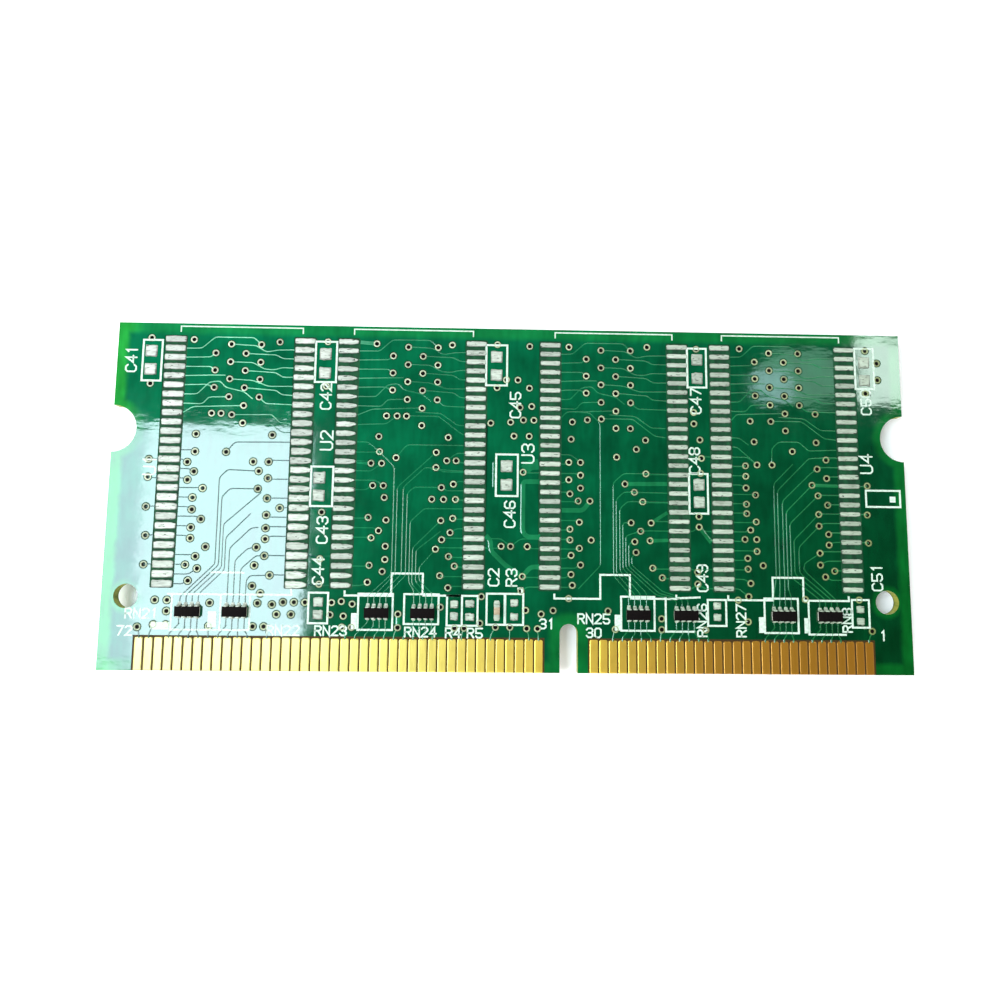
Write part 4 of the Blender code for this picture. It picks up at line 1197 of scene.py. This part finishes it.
def make_body(name, large):
    """A moulded body: drafted halves, a fine parting line, the pin-one dimple and ejector marks."""
    cover_low, cover_high = box_mm(name + "_cover")
    base_high = box_mm(name + "_base")[1]
    x, y = FRONT.middle(name + "_cover")
    width, depth = cover_high.x - cover_low.x, cover_high.y - cover_low.y
    foot, crown = FRONT_Z - base_high.z, FRONT_Z - cover_low.z
    waist = (foot + crown) / 2
    levels = (
        (foot, BODY_DRAFT + 0.03), (foot + 0.03, BODY_DRAFT), (waist - 0.02, 0.0),
        (waist - 0.008, 0.012), (waist + 0.008, 0.012), (waist + 0.02, 0.0),
        (crown - 0.05, BODY_DRAFT * 0.9), (crown, BODY_DRAFT + 0.06),
    )
    rings = [
        at_height(rounded(x, y, width - 2 * cut, depth - 2 * cut, BODY_CORNER), h) for h, cut in levels
    ]
    size = len(rings[0])
    points = [point for ring in rings for point in ring]
    faces = [list(range(size))] + faces_between(size, len(rings))
    radius = 0.5 if large else 0.22
    dimples = [(x + width / 2 - 2.5 * radius, y + depth / 2 - 2.5 * radius, radius, 0.06)]
    if large:
        dimples += [(x, y + side * depth * 0.3, 0.75, 0.025) for side in (-1, 1)]
    loops = [rings[-1]]
    starts = [(len(rings) - 1) * size]
    for cx, cy, rim, deep in dimples:
        wall = [at_height(circle(cx, cy, rim * share, DIMPLE_STEPS), crown - deep * fall)
                for share, fall in ((1.0, 0.0), (0.93, 0.7), (0.85, 1.0))]
        starts.append(len(points))
        loops.append(wall[0])
        faces += faces_between(DIMPLE_STEPS, len(wall), len(points))
        points += [point for ring in wall for point in ring]
        faces.append(list(range(len(points) - DIMPLE_STEPS, len(points))))
    order = [start + index for start, loop in zip(starts, loops) for index in range(len(loop))]
    triangles = tessellate_polygon([[Vector(point) for point in loop] for loop in loops])
    faces += [[order[index] for index in triangle] for triangle in triangles]
    shape = Shape(FRONT)
    shape.add(points, faces)
    nodes = [name + part for part in ("_cover", "_base", "_die")]
    shape.build(name + "_body", [MOULD], nodes, sharp=10)


def make_leads(name, spot, across, pins, pitch, width):
    """Gull-wing leads with rounded bends, in two rows. They point along x when `across` is true."""
    low, high = box_mm(name + "_leadframe")
    body_low, body_high = box_mm(name + "_cover")
    tip = (high.x - low.x) / 2 if across else (high.y - low.y) / 2
    body = (body_high.x - body_low.x) / 2 if across else (body_high.y - body_low.y) / 2
    foot = FRONT_Z - high.z + LEAD_THICKNESS / 2
    shoulder = FRONT_Z - low.z - LEAD_THICKNESS / 2
    path = [(body - 0.12, shoulder), (body + 0.2, shoulder), (tip - LEAD_TOE, foot), (tip, foot)]
    path = soften(path, LEAD_BEND, 4)
    shape = Shape(FRONT)
    for sign in (-1, 1):
        for pin in range(pins):
            shape.tone = dice.random()
            offset = (pin - (pins - 1) / 2) * pitch
            rings = []
            for index, point in enumerate(path):
                ahead = path[min(index + 1, len(path) - 1)] - path[max(index - 1, 0)]
                normal = Vector((-ahead.y, ahead.x)).normalized() * LEAD_THICKNESS / 2
                ring = []
                for out, side in ((1, -1), (1, 1), (-1, 1), (-1, -1)):
                    reach, h = point + normal * out
                    beside = offset + side * width / 2
                    x, y = (sign * reach, beside) if across else (beside, sign * reach)
                    ring.append((spot[0] + x, spot[1] + y, h))
                rings.append(ring)
            shape.loft(rings)
    shape.build(name + "_leads", [LEAD], [name + "_leadframe"], sharp=40)


# ---------------------------------------------------------------- chip resistors and capacitors

STANDOFF = 0.05


def chip_part(side, node):
    """A chip part's middle, width and depth on its face of the board, and the height of its top."""
    low, high = box_mm(node)
    return *side.middle(node), high.x - low.x, high.y - low.y, STANDOFF + high.z - low.z


def soft_block(shape, x, y, width, depth, low, high, radius):
    """A block with rounded corners and softened upper edges."""
    levels = ((low, 0), (high - radius, 0), (high - 0.3 * radius, 0.6 * radius), (high, 2 * radius))
    shape.loft([at_height(rounded(x, y, width - cut, depth - cut, radius), h) for h, cut in levels])


def fillet(shape, x, y, width, reach, high, way):
    """A concave solder fillet that leans on a terminal at (x, y) and runs out along y, up or down."""
    shape.tone = dice.random()
    rings = []
    for step in range(6):
        t = step / 5
        top = high * (1 - t) ** 2.2 * dice.uniform(0.9, 1.1) + 0.012
        half = width / 2 * (1 + 0.25 * t * (1 - t) - 0.25 * t * t)
        section = ((-1, -0.02), (-0.95, top / 2), (-0.5, top), (0.5, top), (0.95, top / 2), (1, -0.02))
        rings.append([(x - way * half * share, y + way * reach * t, h) for share, h in section])
    shape.loft(rings)


def make_arrays():
    """Eight four-element resistor arrays on each face: alumina, black overcoat and wrapped ends."""
    for side in (BACK, FRONT):
        for number in ARRAY_NUMBERS:
            node = "resistor_array_%s_%d" % (side.name, number)
            x, y, width, depth, top = chip_part(side, node)
            shape = Shape(side)
            shape.mark = 1
            soft_block(shape, x, y, width - 0.08, depth - 0.26, STANDOFF, top - 0.1, 0.03)
            shape.mark = 0
            soft_block(shape, x, y, width, depth - 0.16, top - 0.2, top, 0.04)
            shape.mark = 2
            for offset in TERMINALS:
                for way in (-1, 1):
                    edge = y + way * depth / 2
                    middle = edge - way * 0.11
                    soft_block(shape, x + offset, middle, 0.3, 0.22, STANDOFF, top - 0.015, 0.04)
                    reach = dice.uniform(0.24, 0.32) if way > 0 else dice.uniform(0.08, 0.14)
                    fillet(shape, x + offset, edge - way * 0.02, 0.32, reach, top * 0.85, way)
            name = "array_%s_%d_fitted" % (side.name, number)
            shape.build(name, [OVERCOAT_AND_HOLE_SHADE, ALUMINA, SOLDER], [node], sharp=45)


def make_capacitor(side, node):
    """A chip capacitor: ceramic with two rounded end caps and a fillet at each end."""
    x, y, width, length, top = chip_part(side, node)
    cap = 0.22 * length
    reach = 0.35 * length ** 0.5
    shape = Shape(side)
    soft_block(shape, x, y, width * 0.93, length - 0.1, STANDOFF + 0.02, top - 0.02, 0.03)
    shape.mark = 1
    for way in (-1, 1):
        shape.tone = dice.random()
        soft_block(shape, x, y + way * (length - cap) / 2, width, cap, STANDOFF, top, 0.06)
        fillet(shape, x, y + way * (length / 2 - 0.02), width * 0.98, reach, top * 0.75, way)
    shape.build(node + "_fitted", [CERAMIC, SOLDER], [node], sharp=45)


def make_capacitors():
    for number in range(1, 7):
        make_capacitor(FRONT, "capacitor_front_%d" % number)
    make_capacitor(BACK, "capacitor_back")


# ---------------------------------------------------------------- stage, lights and camera

def make_floor():
    """A plain pale table that fades into the background."""
    mesh = bpy.data.meshes.new("floor")
    reach = 2.0
    below = cad_low.z - 0.01 * MM
    corners = at_height(rectangle(-reach, -reach, reach, reach), below)
    mesh.from_pydata(corners, [], [(0, 1, 2, 3)])
    graph = Graph("floor")
    paper = graph.noise(0.4, 3)
    away = graph.node("ShaderNodeVectorMath", operation="LENGTH")
    graph.feed(away.inputs[0], graph.place)
    far = graph.span(away.outputs["Value"], 120, 450, 0.14, 1.0, smooth=True)
    graph.feed(graph.shader.inputs["Emission Color"], graph.grey(far))
    graph.shader.inputs["Emission Strength"].default_value = 1.15
    colour = graph.mix(paper, (0.92, 0.92, 0.92), (0.95, 0.95, 0.95))
    mesh.materials.append(graph.finish(colour, 0.8))
    floor = put("floor", mesh)


WINDOW_HEIGHT = 200


def soft_light(name, place, aim, size, radiance, colour=(1, 1, 1), shape="RECTANGLE"):
    """A flat light. Its place and aim are in millimetres, and radiance is how bright it shows."""
    light = bpy.data.lights.new(name, "AREA")
    light.shape = shape
    light.size, light.size_y = size[0] * MM, size[1] * MM
    share = math.pi / 4 if shape == "ELLIPSE" else 1
    light.energy = radiance * math.pi * light.size * light.size_y * share
    light.color = colour
    lamp = put(name, light)
    lamp.location = Vector(place) * MM
    direction = Vector(aim) * MM - lamp.location
    lamp.rotation_euler = direction.to_track_quat("-Z", "Y").to_euler()
    lamp.visible_camera = False


def make_lights():
    """Windows that the lacquer mirrors, softer lights round the board, and a sky that darkens upward."""
    height = BACK_Z + WINDOW_HEIGHT
    overhead = (
        # name, x, y, size, radiance, colour, shape
        ("window_left", -88.5, 2, (54, 79), 20, (0.72, 0.9, 1.0), "RECTANGLE"),
        ("window_far_left", -124.5, 2, (18, 79), 14, (0.66, 0.85, 0.98), "RECTANGLE"),
        ("window_right", 138, 64, (30, 24), 15, (0.8, 1.0, 0.9), "RECTANGLE"),
        ("glint", 94, 58, (15, 11), 7, (0.62, 0.95, 1.0), "ELLIPSE"),
        ("haze", 104, 61, (33, 20), 3.2, (0.5, 1.0, 0.75), "ELLIPSE"),
    )
    for name, x, y, size, radiance, colour, shape in overhead:
        soft_light(name, (x, y, height), (x, y, 0), size, radiance, colour, shape)
    soft_light("front", (-40, -330, 190), (0, 0, 0), (330, 160), 5.0, (1.0, 0.98, 0.94))
    soft_light("rear", (60, 340, 190), (0, 0, 0), (330, 160), 3.0, (1.0, 0.98, 0.95))
    soft_light("side_left", (-300, -20, 300), (0, 0, 0), (240, 170), 9.5, (1.0, 0.97, 0.92))
    world = bpy.data.worlds.new("studio")
    world.use_nodes = True
    tree = world.node_tree
    nodes, links = tree.nodes, tree.links
    split = nodes.new("ShaderNodeSeparateXYZ")
    links.new(nodes.new("ShaderNodeTexCoord").outputs["Generated"], split.inputs[0])
    fade = nodes.new("ShaderNodeMapRange")
    fade.interpolation_type = "SMOOTHSTEP"
    for socket, value in zip(fade.inputs[1:5], (0.2, 0.92, 1.3, 0.015)):
        socket.default_value = value
    links.new(split.outputs[2], fade.inputs[0])
    links.new(fade.outputs[0], nodes["Background"].inputs["Strength"])
    nodes["Background"].inputs["Color"].default_value = (1, 1, 1, 1)
    bpy.context.scene.world = world
    bpy.context.scene.view_settings.view_transform = "Standard"


def make_camera():
    """Looks down at the back face from a little in front of the board's middle."""
    place = Vector((-1.977, -6.556, 71.006)) * MM
    aim = Vector((-0.0914, 1.8495, 2.2)) * MM
    roll = math.radians(0.558)
    forward = (aim - place).normalized()
    right = forward.cross(Vector((0, 1, 0))).normalized()
    up = right.cross(forward)
    turn = Matrix((right, up, -forward)).transposed().to_4x4()
    data = bpy.data.cameras.new("camera")
    data.lens = 29.378
    data.sensor_width = 36.0
    data.shift_x, data.shift_y = -0.0114, -0.0251
    data.clip_start = 0.001
    camera = put("camera", data)
    camera.matrix_world = Matrix.Translation(place) @ turn @ Matrix.Rotation(roll, 4, "Z")
    bpy.context.scene.camera = camera


make_camera()
make_layers()
make_vias()
make_traces()
make_contacts()
make_chip_pads()
make_small_pads()
make_marks()
make_front_packages()
make_arrays()
make_capacitors()
make_floor()
make_lights()
